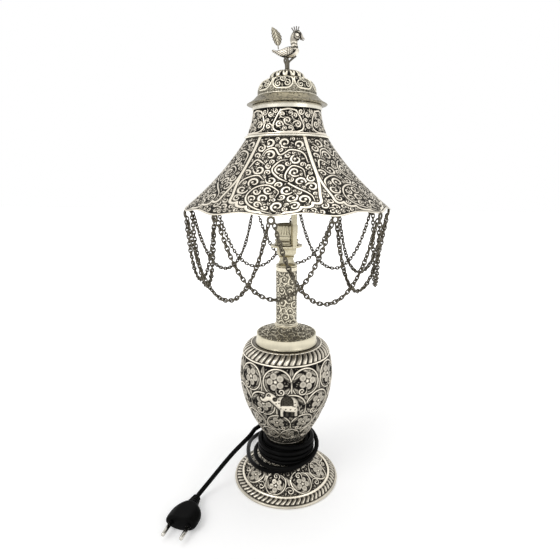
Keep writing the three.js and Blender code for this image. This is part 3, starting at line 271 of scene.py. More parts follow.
def tell_relief(piece, values):
    layer = piece.data.attributes.new("relief", "FLOAT", "POINT")
    layer.data.foreach_set("value", np.asarray(values, np.float32))


def run_along(points):
    """The length of a path up to each of its points."""
    return np.concatenate([[0], np.cumsum(np.linalg.norm(np.diff(points, axis=0), axis=1))])


def bezier(*corners, count):
    """Points of the curve that its corners draw."""
    t = np.linspace(0, 1, count)[:, None]
    corners = np.array(corners, float)[:, None]
    while len(corners) > 1:
        corners = corners[:-1] * (1 - t) + corners[1:] * t
    return corners[0]


def arc(centre, radius, start, end, count=10):
    turn = np.radians(np.linspace(start, end, count))
    return np.array(centre) + radius * np.stack([np.cos(turn), np.sin(turn)], axis=1)


def smooth_path(points, count):
    """A curve through every given point."""
    points = np.array(points, float)
    padded = np.vstack([2 * points[0] - points[1], points, 2 * points[-1] - points[-2]])
    t = np.linspace(0, 1, count, endpoint=False)[:, None]
    spans = []
    for a, b, c, d in zip(padded, padded[1:], padded[2:], padded[3:]):
        bend = (2 * a - 5 * b + 4 * c - d) * t**2 + (3 * b - a - 3 * c + d) * t**3
        spans.append(b + 0.5 * ((c - a) * t + bend))
    return np.vstack([*spans, points[-1:]])


def spaced(points, step):
    """The same path with points at even steps."""
    points = np.array(points, float)
    run = run_along(points)
    places = np.linspace(0, run[-1], max(2, int(round(run[-1] / step)) + 1))
    return np.stack([np.interp(places, run, axis) for axis in points.T], axis=1)


def distance_to(line, x, y):
    """How far points lie from the nearest point of a line."""
    return np.min(np.hypot(x[:, None] - line[:, 0], y[:, None] - line[:, 1]), axis=1)


class Chasing:
    """Chased heights over one repeat of a turned surface: rows climb the outline, columns go round."""

    def __init__(self, outline, step, repeats, middle=FRONT):
        run = run_along(outline)
        self.step, self.repeats, self.middle = step, repeats, middle
        self.length = run[-1]
        self.rows = int(self.length / step) + 2
        self.levels = np.arange(self.rows)[:, None] * step
        self.radius = np.interp(np.arange(self.rows) * step, run, outline[:, 0])
        self.sweep = TAU / repeats
        self.start = middle - self.sweep / 2
        self.columns = int(self.sweep * self.radius.max() / step)
        self.height = np.zeros((self.rows, self.columns), np.float32)

    def spread(self):
        """Carry the repeat right round, so that single figures can be added."""
        self.height = np.tile(self.height, (1, self.repeats))
        self.columns *= self.repeats
        self.sweep = TAU

    def reach(self, s):
        return self.radius[np.clip((np.asarray(s) / self.step).astype(int), 0, self.rows - 1)]

    def half(self, s):
        return self.reach(s) * self.sweep / 2

    def window(self, angle, s, size):
        """The cells within a size of a point, with their squared distance in sizes."""
        per_column = self.sweep * self.reach(s) / self.columns
        column = (angle - self.start) / self.sweep * self.columns
        first, last = math.ceil((s - size) / self.step), int((s + size) / self.step)
        rows = np.arange(max(0, first), min(self.rows, last + 1))
        columns = np.arange(math.ceil(column - size / per_column), int(column + size / per_column) + 1)
        across = (columns - column) * per_column / size
        along = (rows * self.step - s) / size
        return np.ix_(rows, columns % self.columns), across[None] ** 2 + along[:, None] ** 2

    def dab(self, angle, s, size, height=1.0, soft=0.5):
        """Raise a boss: a dome when soft is a half, a ridge when it is one."""
        cells, away = self.window(angle, s, size)
        self.height[cells] = np.maximum(self.height[cells], height * np.clip(1 - away, 0, 1) ** soft)

    def pit(self, angle, s, size, depth=1.0, soft=1.0):
        """Sink a hollow."""
        cells, away = self.window(angle, s, size)
        self.height[cells] = np.minimum(self.height[cells], 1 - depth * np.clip(1 - away**2, 0, 1) ** soft)

    def lay(self, level, low=-1.0, high=1e6):
        """Raise the ground to a level between two rows."""
        chosen = (self.levels > low) & (self.levels < high)
        self.height = np.where(chosen, np.maximum(self.height, level), self.height)

    def band(self, s, size, height):
        """A plain moulding round the whole piece."""
        rounded = np.sqrt(np.clip(1 - ((self.levels - s) / size) ** 2, 0, 1))
        self.height = np.maximum(self.height, height * rounded)

    def trench(self, s, size, depth):
        self.height = np.minimum(self.height, 1 - depth * np.clip(1 - ((self.levels - s) / size) ** 4, 0, 1))

    def stroke(self, angle, points, sizes, height=1.0, tool=None, soft=0.8):
        """Run a tool along a path of (across, s) from a meridian; the sizes are shared out along it."""
        sizes = np.array(sizes, float)
        path = spaced(points, max(0.18, 0.36 * sizes.max()))
        widths = np.interp(np.linspace(0, 1, len(path)), np.linspace(0, 1, len(sizes)), sizes)
        tool = tool or self.dab
        for (across, s), size in zip(path, widths):
            tool(angle + across / self.reach(s), s, size, height, soft)

    def outlined(self, angle, points, sizes, height=1.0, soft=0.8, edge=0.55, steep=0.8):
        """A stroke with a sunk edge round it."""
        self.stroke(angle, points, np.array(sizes, float) + edge, 0.97, self.pit, steep)
        self.stroke(angle, points, sizes, height, soft=soft)

    def bead(self, angle, centre, size, height):
        self.dab(angle + centre[0] / self.reach(centre[1]), centre[1], size, height)

    def leaf(self, angle, root, heading, length, width, curl=0.0, height=0.8, edge=0.0):
        """A pointed leaf that bends by curl along its length, with a sunk vein."""
        t = np.linspace(0, 1, 12)
        turn = heading + curl * t
        steps = np.stack([np.cos(turn), np.sin(turn)], axis=1) * length / 11
        spine = np.array(root) + np.vstack([[0, 0], np.cumsum(steps, axis=0)[:-1]])
        sizes = width * np.clip(np.sin(math.pi * t**0.75), 0.14, 1) * 0.5
        if edge:
            self.stroke(angle, spine, sizes + edge, 0.97, self.pit)
        self.stroke(angle, spine, sizes, height, soft=0.6)
        if width > 1.5:
            self.stroke(angle, spine[2:-2], [0.1 * width, 0.08 * width], 0.55, self.pit)

    def scroll(self, angle, centre, radius, turn, way, size, leafy=False):
        """A stem that sweeps into its circle, winds round once and ends in a bead, perhaps with leaves."""
        inner = 0.72 if leafy else 0.9
        around = lambda reach, spin: (centre[0] + reach * math.cos(spin), centre[1] + reach * math.sin(spin))
        for k in range(6 if leafy else 0):
            share = 0.02 + 0.15 * k
            spin = turn + way * TAU * share
            root = around(radius * (inner + 0.04 - 0.36 * share), spin)
            length = (0.72, 0.6)[k % 2] * radius
            self.leaf(angle, root, spin + way * 0.82, length, 0.34 * radius, way * 1.5, 0.74, 0.3)
        t = np.linspace(-0.3, 1.05, 58)
        reach = radius * np.where(t < 0, inner - 1.5 * t, inner - (inner - 0.24) * t)
        path = [around(*pair) for pair in zip(reach, turn + way * TAU * t)]
        self.outlined(angle, path, size * np.array((0.4, 0.9, 1.1, 1, 0.85)), edge=0.45)
        x, y = path[-1]
        self.outlined(angle, [(x, y), (x + 0.01, y)], [max(1.35 * size, 0.24 * radius)], 1.0, 0.5, 0.4)

    def curls(self, circles, pitch, seed):
        """Stems that swell and thin all over: every point lies on the spiral of its nearest circle."""
        rng = np.random.default_rng(seed)
        level, swell = 0.92, 0.14
        wide = 2 * self.half(self.levels)
        x = (np.arange(self.columns)[None] / self.columns - 0.5) * wide
        nearest = np.full(x.shape, 1e6)
        raised = np.zeros(x.shape)
        for across, up, radius in circles:
            aside = x - across
            aside -= wide * np.round(aside / wide)
            away = np.hypot(aside, self.levels - up)
            spin = np.arctan2(self.levels - up, aside)
            way = rng.choice(SIDES)
            lobed = 0.8 * np.sin(5 * spin + rng.uniform(0, TAU)) * np.clip(away / radius - 0.35, 0, 1)
            wave = 0.5 + 0.5 * np.cos(TAU * away / pitch - way * spin + rng.uniform(0, TAU) + lobed)
            thin = 0.36 + swell * np.cos(spin + rng.uniform(0, TAU))
            stem = level * np.clip((wave - thin) / 0.45, 0, 1) ** 0.8
            knob = min(1.6, 0.36 * radius)
            curl = np.where(away < knob + 0.75, level * np.sqrt(np.clip(1 - (away / knob) ** 2, 0, 1)), stem)
            mine = away - radius < nearest
            nearest = np.where(mine, away - radius, nearest)
            raised = np.where(mine, curl, raised)
        self.height = np.maximum(self.height, raised).astype(np.float32)

    def blossom(self, angle, centre, radius, turn):
        """Five round petals about a bead, each sunk within a bright edge."""
        for tool, size, level, soft in (
            (self.pit, 0.47, 0.98, 1.0),
            (self.dab, 0.39, 0.9025, 0.25),
            (self.pit, 0.29, 0.36, 0.6),
        ):
            for i in range(5):
                spin = turn + TAU * i / 5
                across = centre[0] + 0.62 * radius * math.cos(spin)
                s = centre[1] + 0.62 * radius * math.sin(spin)
                tool(angle + across / self.reach(s), s, size * radius, level, soft)
        self.bead(angle, centre, 0.24 * radius, 0.95)

    def fill(self, seed, low, high, sizes, tries, height, clear=0.34):
        """Small curling leaves in whatever gaps are left between two rows."""
        rng = np.random.default_rng(seed)
        for size in sizes:
            for share, s in rng.uniform((0, low + size), (1, high - size), (tries, 2)):
                angle = self.start + share * self.sweep
                cells, away = self.window(angle, s, 1.2 * size)
                if np.max(self.height[cells] * (away < 1)) > clear:
                    continue
                turn = rng.uniform(0, TAU)
                x, y = math.cos(turn) * size * 0.6, math.sin(turn) * size * 0.6
                self.stroke(angle, [(-x, s - y), (x, s + y)], size * np.array((0.35, 0.62, 0.45)), height)

    def at(self, angle, s):
        """Heights at many points at once."""
        column = ((angle - self.start) / self.sweep) % 1 * self.columns
        row = np.clip(s / self.step, 0, self.rows - 1.001)
        r0, c0 = row.astype(int), np.floor(column).astype(int) % self.columns
        fr, fc = row - r0, column - np.floor(column)
        c1 = (c0 + 1) % self.columns
        low = self.height[r0, c0] * (1 - fc) + self.height[r0, c1] * fc
        high = self.height[r0 + 1, c0] * (1 - fc) + self.height[r0 + 1, c1] * fc
        return low * (1 - fr) + high * fr


def turned(name, outline, columns, start=0.0, sweep=TAU):
    """Wrap a grid about the axis: its rows follow an outline of (radius, height) that runs up the outside."""
    outline = np.array(outline, float)
    last = len(outline) - 1
    bm = bmesh.new()
    bmesh.ops.create_grid(bm, x_segments=columns, y_segments=last, size=1)
    marks = bm.verts.layers.float.new("row")
    kept, joined = {}, {}
    right_round = abs(sweep - TAU) < 1e-6
    shut = np.allclose(outline[0], outline[-1])
    for vert in bm.verts:
        column = round((vert.co.x + 1) / 2 * columns)
        row = round((vert.co.y + 1) / 2 * last)
        home = (column % columns if right_round else column, row % last if shut else row)
        if home == (column, row):
            kept[home] = vert
        else:
            joined[vert] = home
        vert[marks] = row
        radius, height = outline[row]
        turn = start + sweep * column / columns
        vert.co = (radius * math.cos(turn) * MM, radius * math.sin(turn) * MM, height * MM)
    bmesh.ops.weld_verts(bm, targetmap={vert: kept[home] for vert, home in joined.items()})
    rows = np.array([vert[marks] for vert in bm.verts])
    return as_piece(name, bm), np.rint(rows).astype(int)


def plain_turning(name, body, look, slot, node, columns, *outline, level=0.0, shut=True):
    """A turned piece with crisp edges. Its outline comes in parts, with heights above a level."""
    outline = np.vstack(outline) + (0, level)
    piece, _ = turned(name, np.vstack([outline, outline[:1]]) if shut else outline, columns)
    dress(piece, body, look, slot, *([node] if node else []))
    piece.data.set_sharp_from_angle(angle=CREASE)


def ring_normals(outline):
    """Outward directions along an outline that runs up the outside."""
    along = np.gradient(outline, axis=0)
    along /= np.linalg.norm(along, axis=1)[:, None] + 1e-9
    return np.stack([along[:, 1], -along[:, 0]], axis=1)


def chased_turning(name, outer, inner, columns, field, depth, inside, start=0.0, sweep=TAU, bend=None):
    """A turned shell whose outside carries a chased field; bend moves points after the field is laid on."""
    neutral = 0.75
    inner = np.vstack([inner, outer[:1]])
    outline = np.vstack([outer, inner])
    piece, rows = turned(name, outline, columns, start, sweep)
    points = points_of(piece)
    angle = np.arctan2(points[:, 1], points[:, 0])
    outside = rows < len(outer)
    s = np.where(outside, run_along(outer)[np.minimum(rows, len(outer) - 1)], 0)
    raised = np.where(outside, field.at(angle, s), inside)
    normals = np.vstack([ring_normals(outer), np.zeros((len(inner), 2))])
    lift = np.where(outside, (raised - neutral) * depth, 0)
    radius, height = (outline[rows] + lift[:, None] * normals[rows]).T
    if bend:
        radius, height = bend(angle, rows, radius, height)
    set_points(piece, np.stack([radius * np.cos(angle), radius * np.sin(angle), height], axis=1))
    tell_relief(piece, raised)
    return piece


def nested_circles(field, room, low, high, sizes, seed):
    """Circles set into a region, large ones first, each close against what is there already."""
    grid = 0.42
    wide = field.half(np.linspace(low, high, 40)).max()
    across, up = np.meshgrid(np.arange(-wide, wide, grid), np.arange(low, high, grid))
    inside = np.abs(across) <= field.half(up)
    across, up = across[inside], up[inside]
    whole = 2 * field.half(up)
    free = room(across, up)
    rng = np.random.default_rng(seed)
    found = []
    for size in sizes:
        while len(fits := np.flatnonzero(free >= size)):
            at = rng.choice(fits) if rng.random() < 0.3 else fits[np.argmin(free[fits])]
            found.append((across[at], up[at], size))
            aside = np.abs(across - across[at])
            aside = np.minimum(aside, whole - aside)
            free = np.minimum(free, np.hypot(aside, up - up[at]) - size)
    return found


def scrollwork(field, circles, seed, size):
    """A curling stem in every circle, springing from its nearest neighbour, or a leaf in a small one."""
    rng = np.random.default_rng(seed)
    for i, (x, y, radius) in enumerate(circles):
        near = min(circles[:i] + circles[i + 1 :], key=lambda c: math.hypot(c[0] - x, c[1] - y) - c[2])
        turn = math.atan2(near[1] - y, near[0] - x) + rng.uniform(-0.5, 0.5)
        way = 1 if rng.random() < 0.5 else -1
        if radius > 1.7:
            thick = size * min(1.15, 0.55 + 0.11 * radius)
            field.scroll(field.middle, (x, y), radius, turn, way, thick, radius > 3)
        else:
            root = (x + radius * math.cos(turn), y + radius * math.sin(turn))
            field.leaf(field.middle, root, turn + math.pi - 0.5 * way, radius * 2, radius * 1.1, way, 0.85)


def frame_line(field, half_line, size):
    """A line and its mirror image about the middle of a field."""
    for side in SIDES:
        field.stroke(field.middle, half_line * (side, 1), [size], 1.05, soft=0.5)


# Shade skirt: six panels on one slope, each with its rib, cusped frame and scrolls

SLOPE = bezier((104.2, SKIRT[0] - 1.0), (63.8, 341.5), (41.0, SKIRT[1]), count=400)
# Each point is (share of the half width, share of the slope's length)
CUSPS = [
    [(1.0, 0.56), (0.955, 0.42), (0.9, 0.31), (0.872, 0.25)]
    + [(0.862, 0.2), (0.82, 0.168), (0.75, 0.158), (0.69, 0.165)],
    [(0.69, 0.165), (0.67, 0.125), (0.61, 0.1), (0.54, 0.09), (0.47, 0.096)],
    [(0.47, 0.096), (0.45, 0.066), (0.38, 0.045), (0.28, 0.042), (0.2, 0.05)],
    [(0.2, 0.05), (0.16, 0.032), (0.08, 0.024), (0.0, 0.022)],
]
STEMS = [
    [(0.0, 0.05), (-0.4, 0.11), (-0.56, 0.23), (-0.46, 0.35), (-0.18, 0.4), (0.06, 0.33), (0.02, 0.25)],
    [(0.74, 0.17), (0.7, 0.27), (0.46, 0.35), (0.24, 0.44)]
    + [(0.2, 0.54), (0.38, 0.64), (0.66, 0.6), (0.68, 0.5)],
    [(0.24, 0.44), (0.02, 0.5), (-0.16, 0.6), (0.02, 0.7), (0.26, 0.72)],
    [(-0.9, 0.36), (-0.84, 0.47), (-0.52, 0.52), (-0.3, 0.46)],
    [(0.86, 0.68), (0.78, 0.8), (0.36, 0.84), (0.02, 0.78), (-0.2, 0.86), (-0.5, 0.84), (-0.62, 0.74)],
    [(-0.86, 0.62), (-0.72, 0.72), (-0.4, 0.66)],
]


def arabesque(field, stems, circles, seed):
    """Swelling stems, and in every circle a comma that branches off and curls up to a bead."""
    rng = np.random.default_rng(seed)
    commas = []
    for i, (x, y, radius) in enumerate(circles):
        centre = np.array([x, y])
        others = np.array([c[:2] for k, c in enumerate(circles) if k != i])
        near = np.vstack([*stems, others + 0.6 * (centre - others)])
        near = near[np.argmin(np.hypot(near[:, 0] - x, near[:, 1] - y))] - centre
        way = rng.choice(SIDES)
        t = np.linspace(-0.24, 0.95, 50)
        spin = math.atan2(near[1], near[0]) + way * TAU * (0.24 + t)
        reach = radius * np.where(t < 0, 0.86 - 1.0 * t, 0.86 - 0.6 * t)
        path = np.stack([reach * np.cos(spin), reach * np.sin(spin)], axis=1)
        broad = min(1.15, 0.5 + 0.12 * radius)
        leaf = broad * np.array((0.3, 1.0, 1.1, 0.4))
        field.outlined(FRONT, centre + 1.36 * path[10:36], leaf, 0.78, 0.6, 0.5, 0.2)
        commas.append((centre + path, broad, radius))
    for path, broad, radius in commas:
        comma = broad * np.array((0.4, 1.0, 1.4, 1.25, 0.85, 0.6))
        field.outlined(FRONT, path, comma, edge=0.7, steep=0.2)
        knob = max(1.25 * broad, 0.28 * radius)
        field.outlined(FRONT, [path[-1], path[-1] + 0.01], [knob], 1.0, 0.5, 0.55, 0.3)
    for stem in stems:
        field.outlined(FRONT, stem, (0.5, 1.1, 1.3, 1.0, 1.2, 0.9, 0.4), edge=0.9, steep=0.2)


def panel_field():
    """One panel of the shade: ribs at its sides, a cusped line at its foot, scrolls inside and below."""
    field = Chasing(spaced(SLOPE, 0.5), step=0.22, repeats=PANELS)
    length = field.length

    def drawn(shares):
        return np.array([(share * field.half(s * length), s * length) for share, s in smooth_path(shares, 8)])

    cusps = [drawn(lobe) for lobe in CUSPS]
    stems = [drawn(stem) for stem in STEMS]
    cusp_line = np.vstack([line * (side, 1) for line in cusps for side in SIDES])
    stem_line = np.vstack(stems)
    edge = np.vstack(CUSPS)[::-1]

    def above(x, y):
        return y - np.interp(np.abs(x) / field.half(y), edge[:, 0], edge[:, 1]) * length

    def inside(x, y):
        clear = np.minimum(distance_to(cusp_line, x, y), distance_to(stem_line, x, y)) - 1.0
        room = np.minimum(clear, field.half(y) - np.abs(x) - 1.9)
        return np.where(above(x, y) > 0, np.minimum(room, length - y - 0.6), -1)

    def below(x, y):
        return np.where(above(x, y) < 0, np.minimum(distance_to(cusp_line, x, y) - 0.9, y - 1.8), -1)

    field.lay(0.14)
    main = nested_circles(field, inside, 0, length, (5.6, 5.0, 4.4, 3.8, 3.2, 2.6, 2.1, 1.7), seed=11)
    low = nested_circles(field, below, 0, 0.56 * length, (3.8, 3.2, 2.6, 2.0, 1.6), seed=5)
    arabesque(field, stems, main + low, seed=3)
    leaves = {"sizes": (2.2, 1.7, 1.3, 0.9), "tries": 2600, "height": 0.8, "clear": 0.42}
    field.fill(seed=7, low=2.4, high=length - 0.6, **leaves)
    rib = np.array([(field.half(s), s) for s in np.linspace(0.54 * length, length, 40)])
    for tool, rib_size, cusp_size, height, soft in (
        (field.pit, 3.2, 2.5, 1.0, 0.8),
        (field.dab, 1.8, 1.45, 1.15, 0.4),
    ):
        for side in SIDES:
            field.stroke(FRONT, rib * (side, 1), [rib_size], height, tool, soft)
            for line in cusps:
                field.stroke(FRONT, line * (side, 1), [cusp_size], height, tool, soft)
    field.band(1.0, 1.1, 1.1)
    field.trench(2.4, 0.4, 0.9)
    return field


def skirt_panels():
    field = panel_field()
    outer = spaced(SLOPE, 0.46)
    thick = (1.7, 0)
    inner = np.vstack([outer[::-12] - thick, outer[:1] - thick])

    def scallop(angle, rows, radius, height):
        draw_in, lift = 3.2, 2.48
        up = np.clip(rows / len(outer), 0, 1)
        up = np.where(rows < len(outer), up, 1 - np.clip((rows - len(outer)) / (len(inner) - 1), 0, 1))
        cut = (1 - up) ** 2 * (0.5 - 0.5 * np.cos(EYES * (angle - FRONT)))
        return radius - draw_in * cut, height + lift * cut

    for i in range(PANELS):
        start = field.start + field.sweep * i
        name = f"skirt_panel_{i + 1}"
        spread = {"start": start, "sweep": field.sweep, "bend": scallop}
        piece = chased_turning(name, outer, inner, 250, field, depth=0.36, inside=0.5, **spread)
        dress(piece, "shade", "scroll_silver", "chased_silver", "shade_skirt")


skirt_panels()

plain_turning(
    "seam_wire", "shade", "wire_silver", "polished_silver", "seam_ring", 180,
    (38.6, SEAM[0]), (40.7, SEAM[0]), arc((40.7, 377.7), 1.1, -90, 90), (38.6, SEAM[1]),
)


def shade_collar():
    share = np.linspace(1, 0, 60)
    side = np.stack([32.9 + 6.8 * share**2, COLLAR_TOP - 28.4 * share], axis=1)
    outer = spaced(side, 0.4)
    field = Chasing(outer, step=0.2, repeats=6, middle=FRONT + math.radians(9))
    top = field.length - 5.4
    line = 0.9
    medallion = [(0, 1.6), (9.0, 2.0), (13.6, 4.4), (14.4, 8.4)]
    medallion += [(12.2, 13.4), (9.6, 18.0), (6.6, 21.6), (0, 23.0)]
    medallion = smooth_path(medallion, 8)

    def half_width(y):
        return np.interp(y, medallion[:, 1], medallion[:, 0], 0, 0)

    def within(x, y):
        return np.where(np.abs(x) < half_width(y), distance_to(medallion, np.abs(x), y) - line, -1)

    def between(x, y):
        beside = np.abs(x) - half_width(y) - 1.2
        return np.where(beside > 0, np.minimum(beside, np.minimum(y - 1.4, top - y - 0.4)), -1)

    # The ground is laid black: painted shade, standing for the dark inside seen through the piercings
    field.lay(0.04)
    circles = nested_circles(field, within, 0, top, (4.4, 3.8, 3.3, 2.7, 2.1, 1.5, 1.0), seed=21)
    scrollwork(field, circles, seed=21, size=1.0)
    frame_line(field, medallion, line)
    circles = nested_circles(field, between, 0, top, (3.4, 2.8, 2.2, 1.6, 1.1), seed=31)
    scrollwork(field, circles, seed=9, size=0.95)
    field.fill(seed=7, low=1.5, high=top, sizes=(1.2, 0.9), tries=1500, height=0.62)
    field.lay(0.9, top + 0.4)
    field.trench(top + 0.2, 0.5, 0.95)
    field.band(0.7, 0.8, 1.05)
    piece = chased_turning("collar_painted_piercing", outer, side[::-6] - (1.3, 0), 520, field, depth=0.6, inside=0.5)
    dress(piece, "shade", "painted_openwork_silver", "chased_silver", "shade_collar")
    lip = [(33.0, -5.0), (33.9, -4.9), (33.8, -2.2), (33.5, -0.4), (33.0, 0), (32.0, 0)]
    plain_turning("collar_lip", "shade", "wire_silver", "polished_silver", None, 180, lip, level=COLLAR_TOP)


shade_collar()


def lid_dome():
    flange = [(38.4, LID), (39.0, LID + 0.2), (39.1, LID + 0.6), (38.6, LID + 1.0)]
    slope = bezier((38.6, LID + 1.0), (33.5, LID + 3.4), (30.2, DOME[0] - 0.6), count=20)
    under = [(29.2, DOME[0]), (28.4, DOME[0] - 1.2), (31.0, LID + 2.0), (33.0, LID)]
    plain_turning("lid_brim", "lid", "spotted_plate", "chased_silver", None, 180, flange, slope, under)
    top = DOME[1] - 1.9
    bowl = bezier((28.7, DOME[0]), (28.7, DOME[0] + 9.4), (24.6, top - 1.2), (17.0, top), count=80)
    outer = spaced(np.vstack([bowl, (3.0, top)]), 0.36)
    field = Chasing(outer, step=0.18, repeats=8, middle=FRONT + math.radians(-2))
    field.lay(0.4)
    rng = np.random.default_rng(4)
    for share, s in rng.uniform((0, 0), (1, 26), (700, 2)):
        field.dab(field.start + share * field.sweep, s, rng.uniform(0.35, 0.65), rng.uniform(0.6, 0.9), 0.6)
    pear = [(0, 3.8), (5.6, 4.2), (8.8, 7.0), (9.4, 10.8), (8.4, 14.2), (6.2, 17.2), (3.4, 19.4), (0, 20.0)]
    pear = smooth_path(pear, 8)
    # The pear window is sunk black: painted shade, standing for the dark inside seen through the piercing
    for y in np.arange(4.0, 19.8, 0.3):
        wide = np.interp(y, pear[:, 1], pear[:, 0])
        field.stroke(field.middle, [(-wide, y), (wide, y)], [0.5], 0.98, field.pit, 0.3)
    frame_line(field, pear, 0.9)
    for across, up, radius, turn in ((-4.1, 8.0, 3.5, 2.4), (4.1, 8.6, 3.5, 0.7), (0.3, 14.6, 3.6, 4.0)):
        field.scroll(field.middle, (across, up), radius, turn, 1 if across < 0 else -1, 0.78)
    for x, y, heading in ((0, 5.0, UPRIGHT), (-6.2, 13.2, 1.3), (6.2, 13.4, 1.84), (-2.6, 18.2, 0.6)):
        field.leaf(field.middle, (x, y), heading, 4.0, 2.0, 0.4, 0.74, 0.4)
    field.band(0.5, 0.6, 0.9)
    hollow = bezier((27.4, DOME[0]), (27.4, DOME[0] + 8.4), (23.4, top - 2.4), (16.8, top - 1.2), count=14)
    inner = np.vstack([(3.0, top - 1.2), hollow[::-1]])
    piece = chased_turning("dome_painted_piercing", outer, inner, 480, field, depth=0.9, inside=0.4)
    dress(piece, "lid", "lid_silver", "chased_silver", "lid_dome")


lid_dome()


def petal_crown():
    """Round-ended petals, each with a raised edge, lying down the crown of the dome."""
    petals = 14
    side = [(15.6, 431.3), (16.8, 432.4), (16.3, 434.6), (13.8, 436.9), (9.0, 438.7), (2.0, PETALS_TOP + 0.3)]
    outer = spaced(smooth_path(side, 12), 0.3)
    under = outer[::-6] - (0.3, 0.6)
    field = Chasing(outer, step=0.15, repeats=petals)
    field.lay(0.04)
    field.stroke(FRONT, [(0, 2.3), (0, 6.0), (0, 11), (0, field.length)], [2.5, 2.8, 1.9, 0.8], 1.0, soft=0.3)
    field.stroke(FRONT, [(0, 4.4), (0, 12)], [0.8, 1.4, 0.5], 0.72, field.pit)

    def scallop(angle, rows, radius, height):
        draw_in, lift = 2.2, 1.5
        near = np.clip(1 - rows / 12, 0, 1)
        near = np.where(rows < len(outer), near, np.clip(1 - (len(outer) + len(under) - rows) / 3, 0, 1))
        notch = near * np.abs(np.sin(petals / 2 * (angle - FRONT))) ** 5
        return radius - draw_in * notch, height + lift * notch

    piece = chased_turning("petal_crown", outer, under, 360, field, depth=0.8, inside=0.3, bend=scallop)
    dress(piece, "lid", "lid_silver", "chased_silver", "petal_cap")


petal_crown()

SPIGOT = [(30.1, 402.5), (31.3, 402.5), (31.3, 407.5), (30.1, 407.5)]
plain_turning("lid_locating_ring", "lid", "worn_plate", "plated_fittings", "lid_spigot", 120, SPIGOT)


# Vase, shoulder, neck, cap, column: the standing part


def elephant(field, angle, level, k):
    """A walking elephant under a domed saddle cloth, facing left, as on old raised work; k is its scale."""
    at = lambda *points: [(k * x, level + k * y) for x, y in points]
    curve = lambda *points: at(*smooth_path(points, 6))

    def cut(path, size=0.5, depth=0.9, soft=0.8):
        field.stroke(angle, path, [size * k], depth, field.pit, soft)

    def spots(size, depth, *places):
        for x, y in places:
            field.pit(angle + k * x / field.reach(level), level + k * y, size * k, depth)

    trunk = at(*smooth_path([(-10.8, 5.0), (-13.2, 2.8), (-15.2, 2.4), (-16.6, 4.0)], 8))
    legs = [at((x, -4.4), (x - 0.3, -7.4), (x - 0.2, -10.0)) for x in (0.2, 4.2, 8.2, 11.0)]
    shapes = [
        (at((1.6, 1.4), (6.2, 1.0)), (6.6, 6.6)),
        (at((-6.2, 4.2), (-1.6, 0.2), (4.0, -3.2), (9.6, -4.0)), (3.0, 3.2, 2.8, 2.6)),
        (at((-9.0, 6.4), (-7.4, 5.8)), (3.7, 3.6)),
        (trunk, (2.2, 1.5, 0.9)),
    ]
    for path, sizes in shapes + [(leg, (1.6,)) for leg in legs]:
        field.stroke(angle, path, k * np.array(sizes) + 1.4, 1.0, field.pit, 0.4)
    for leg, height in zip(legs, (0.9, 0.42, 0.42, 0.8)):
        field.stroke(angle, leg, k * np.array((1.7, 1.2, 1.4)), height, soft=0.25)
    for path, sizes in shapes:
        field.stroke(angle, path, k * np.array(sizes), 0.93, soft=0.16)
    for y in np.arange(-0.2, 7.4, 0.5):
        half = 4.0 * math.sqrt(1 - (max(y - 3, 0) / 5.2) ** 2)
        cut(at((4.1 - half, y), (4.1 + half, y)), 0.5, 0.6, 0.3)
    spots(0.7, 0.85, (1.6, 1.2), (1.6, 3.6), (3.4, 2.4), (3.4, 4.8))
    spots(0.7, 0.85, (5.2, 1.2), (5.2, 3.6), (7.0, 2.4), (6.8, 4.6), (5.2, 6.0))
    cut(curve((-0.4, -0.8), (-0.3, 3.4), (1.2, 6.6), (4.2, 8.0), (7.2, 6.4), (8.6, 3.2), (8.6, -1.1)), 0.45)
    field.stroke(angle, at((-0.6, -1.7), (8.8, -2.0)), [0.45 * k], 1.0)
    spots(2.1, 0.96, (-5.0, 4.8))
    field.bead(angle, at((-4.8, 4.6))[0], 1.3 * k, 0.5)
    cut(curve((-11.0, 7.0), (-10.2, 8.2), (-8.8, 7.8), (-8.8, 6.8)))
    spots(0.55, 0.95, (-9.8, 7.0))
    spots(0.6, 0.9, (-1.8, 4.6), (-2.0, 1.8), (-4.0, 1.2), (-0.6, -3.0), (3.2, -3.4), (6.8, -3.8))
    spots(0.6, 0.9, (10.0, -1.2), (10.2, 1.8), (10.4, -4.2))
    field.stroke(angle, at((12.4, 0.4), (13.6, -2.6), (13.2, -5.4)), k * np.array((0.6, 0.45, 0.75)), 0.85)


def flower_ring(field, angle, centre, radius, turn, way, leaves=True, stems=True):
    """A stem that sweeps round a five-petalled flower and ends in a curl, with broad leaves."""
    polar = lambda share, spin: (share * radius * math.cos(spin), centre + share * radius * math.sin(spin))
    thick = 0.42 + 0.038 * radius
    if leaves:
        for spin, size in ((0.7, 1.05), (1.9, 0.9), (3.1, 1.05), (4.3, 0.9)):
            root = polar(0.95, turn + way * spin)
            heading = turn + way * (spin + 1.85)
            field.leaf(angle, root, heading, size * radius, 0.42 * radius, way * 1.35, 0.77, 0.7)
    if stems:
        field.blossom(angle, polar(0.14, turn + way * 2.6), 0.62 * radius, turn)
        stem = [polar(1.0 - 0.3 * k**2, turn + way * TAU * k) for k in np.linspace(-0.06, 0.93, 70)]
        field.outlined(angle, stem, thick * np.array((0.7, 1.2, 1, 0.8)), edge=0.7)
        curl = polar(0.62, turn - way * 0.42)
        field.scroll(angle, curl, 0.27 * radius, turn - way * 1.2, way, 0.95 * thick)


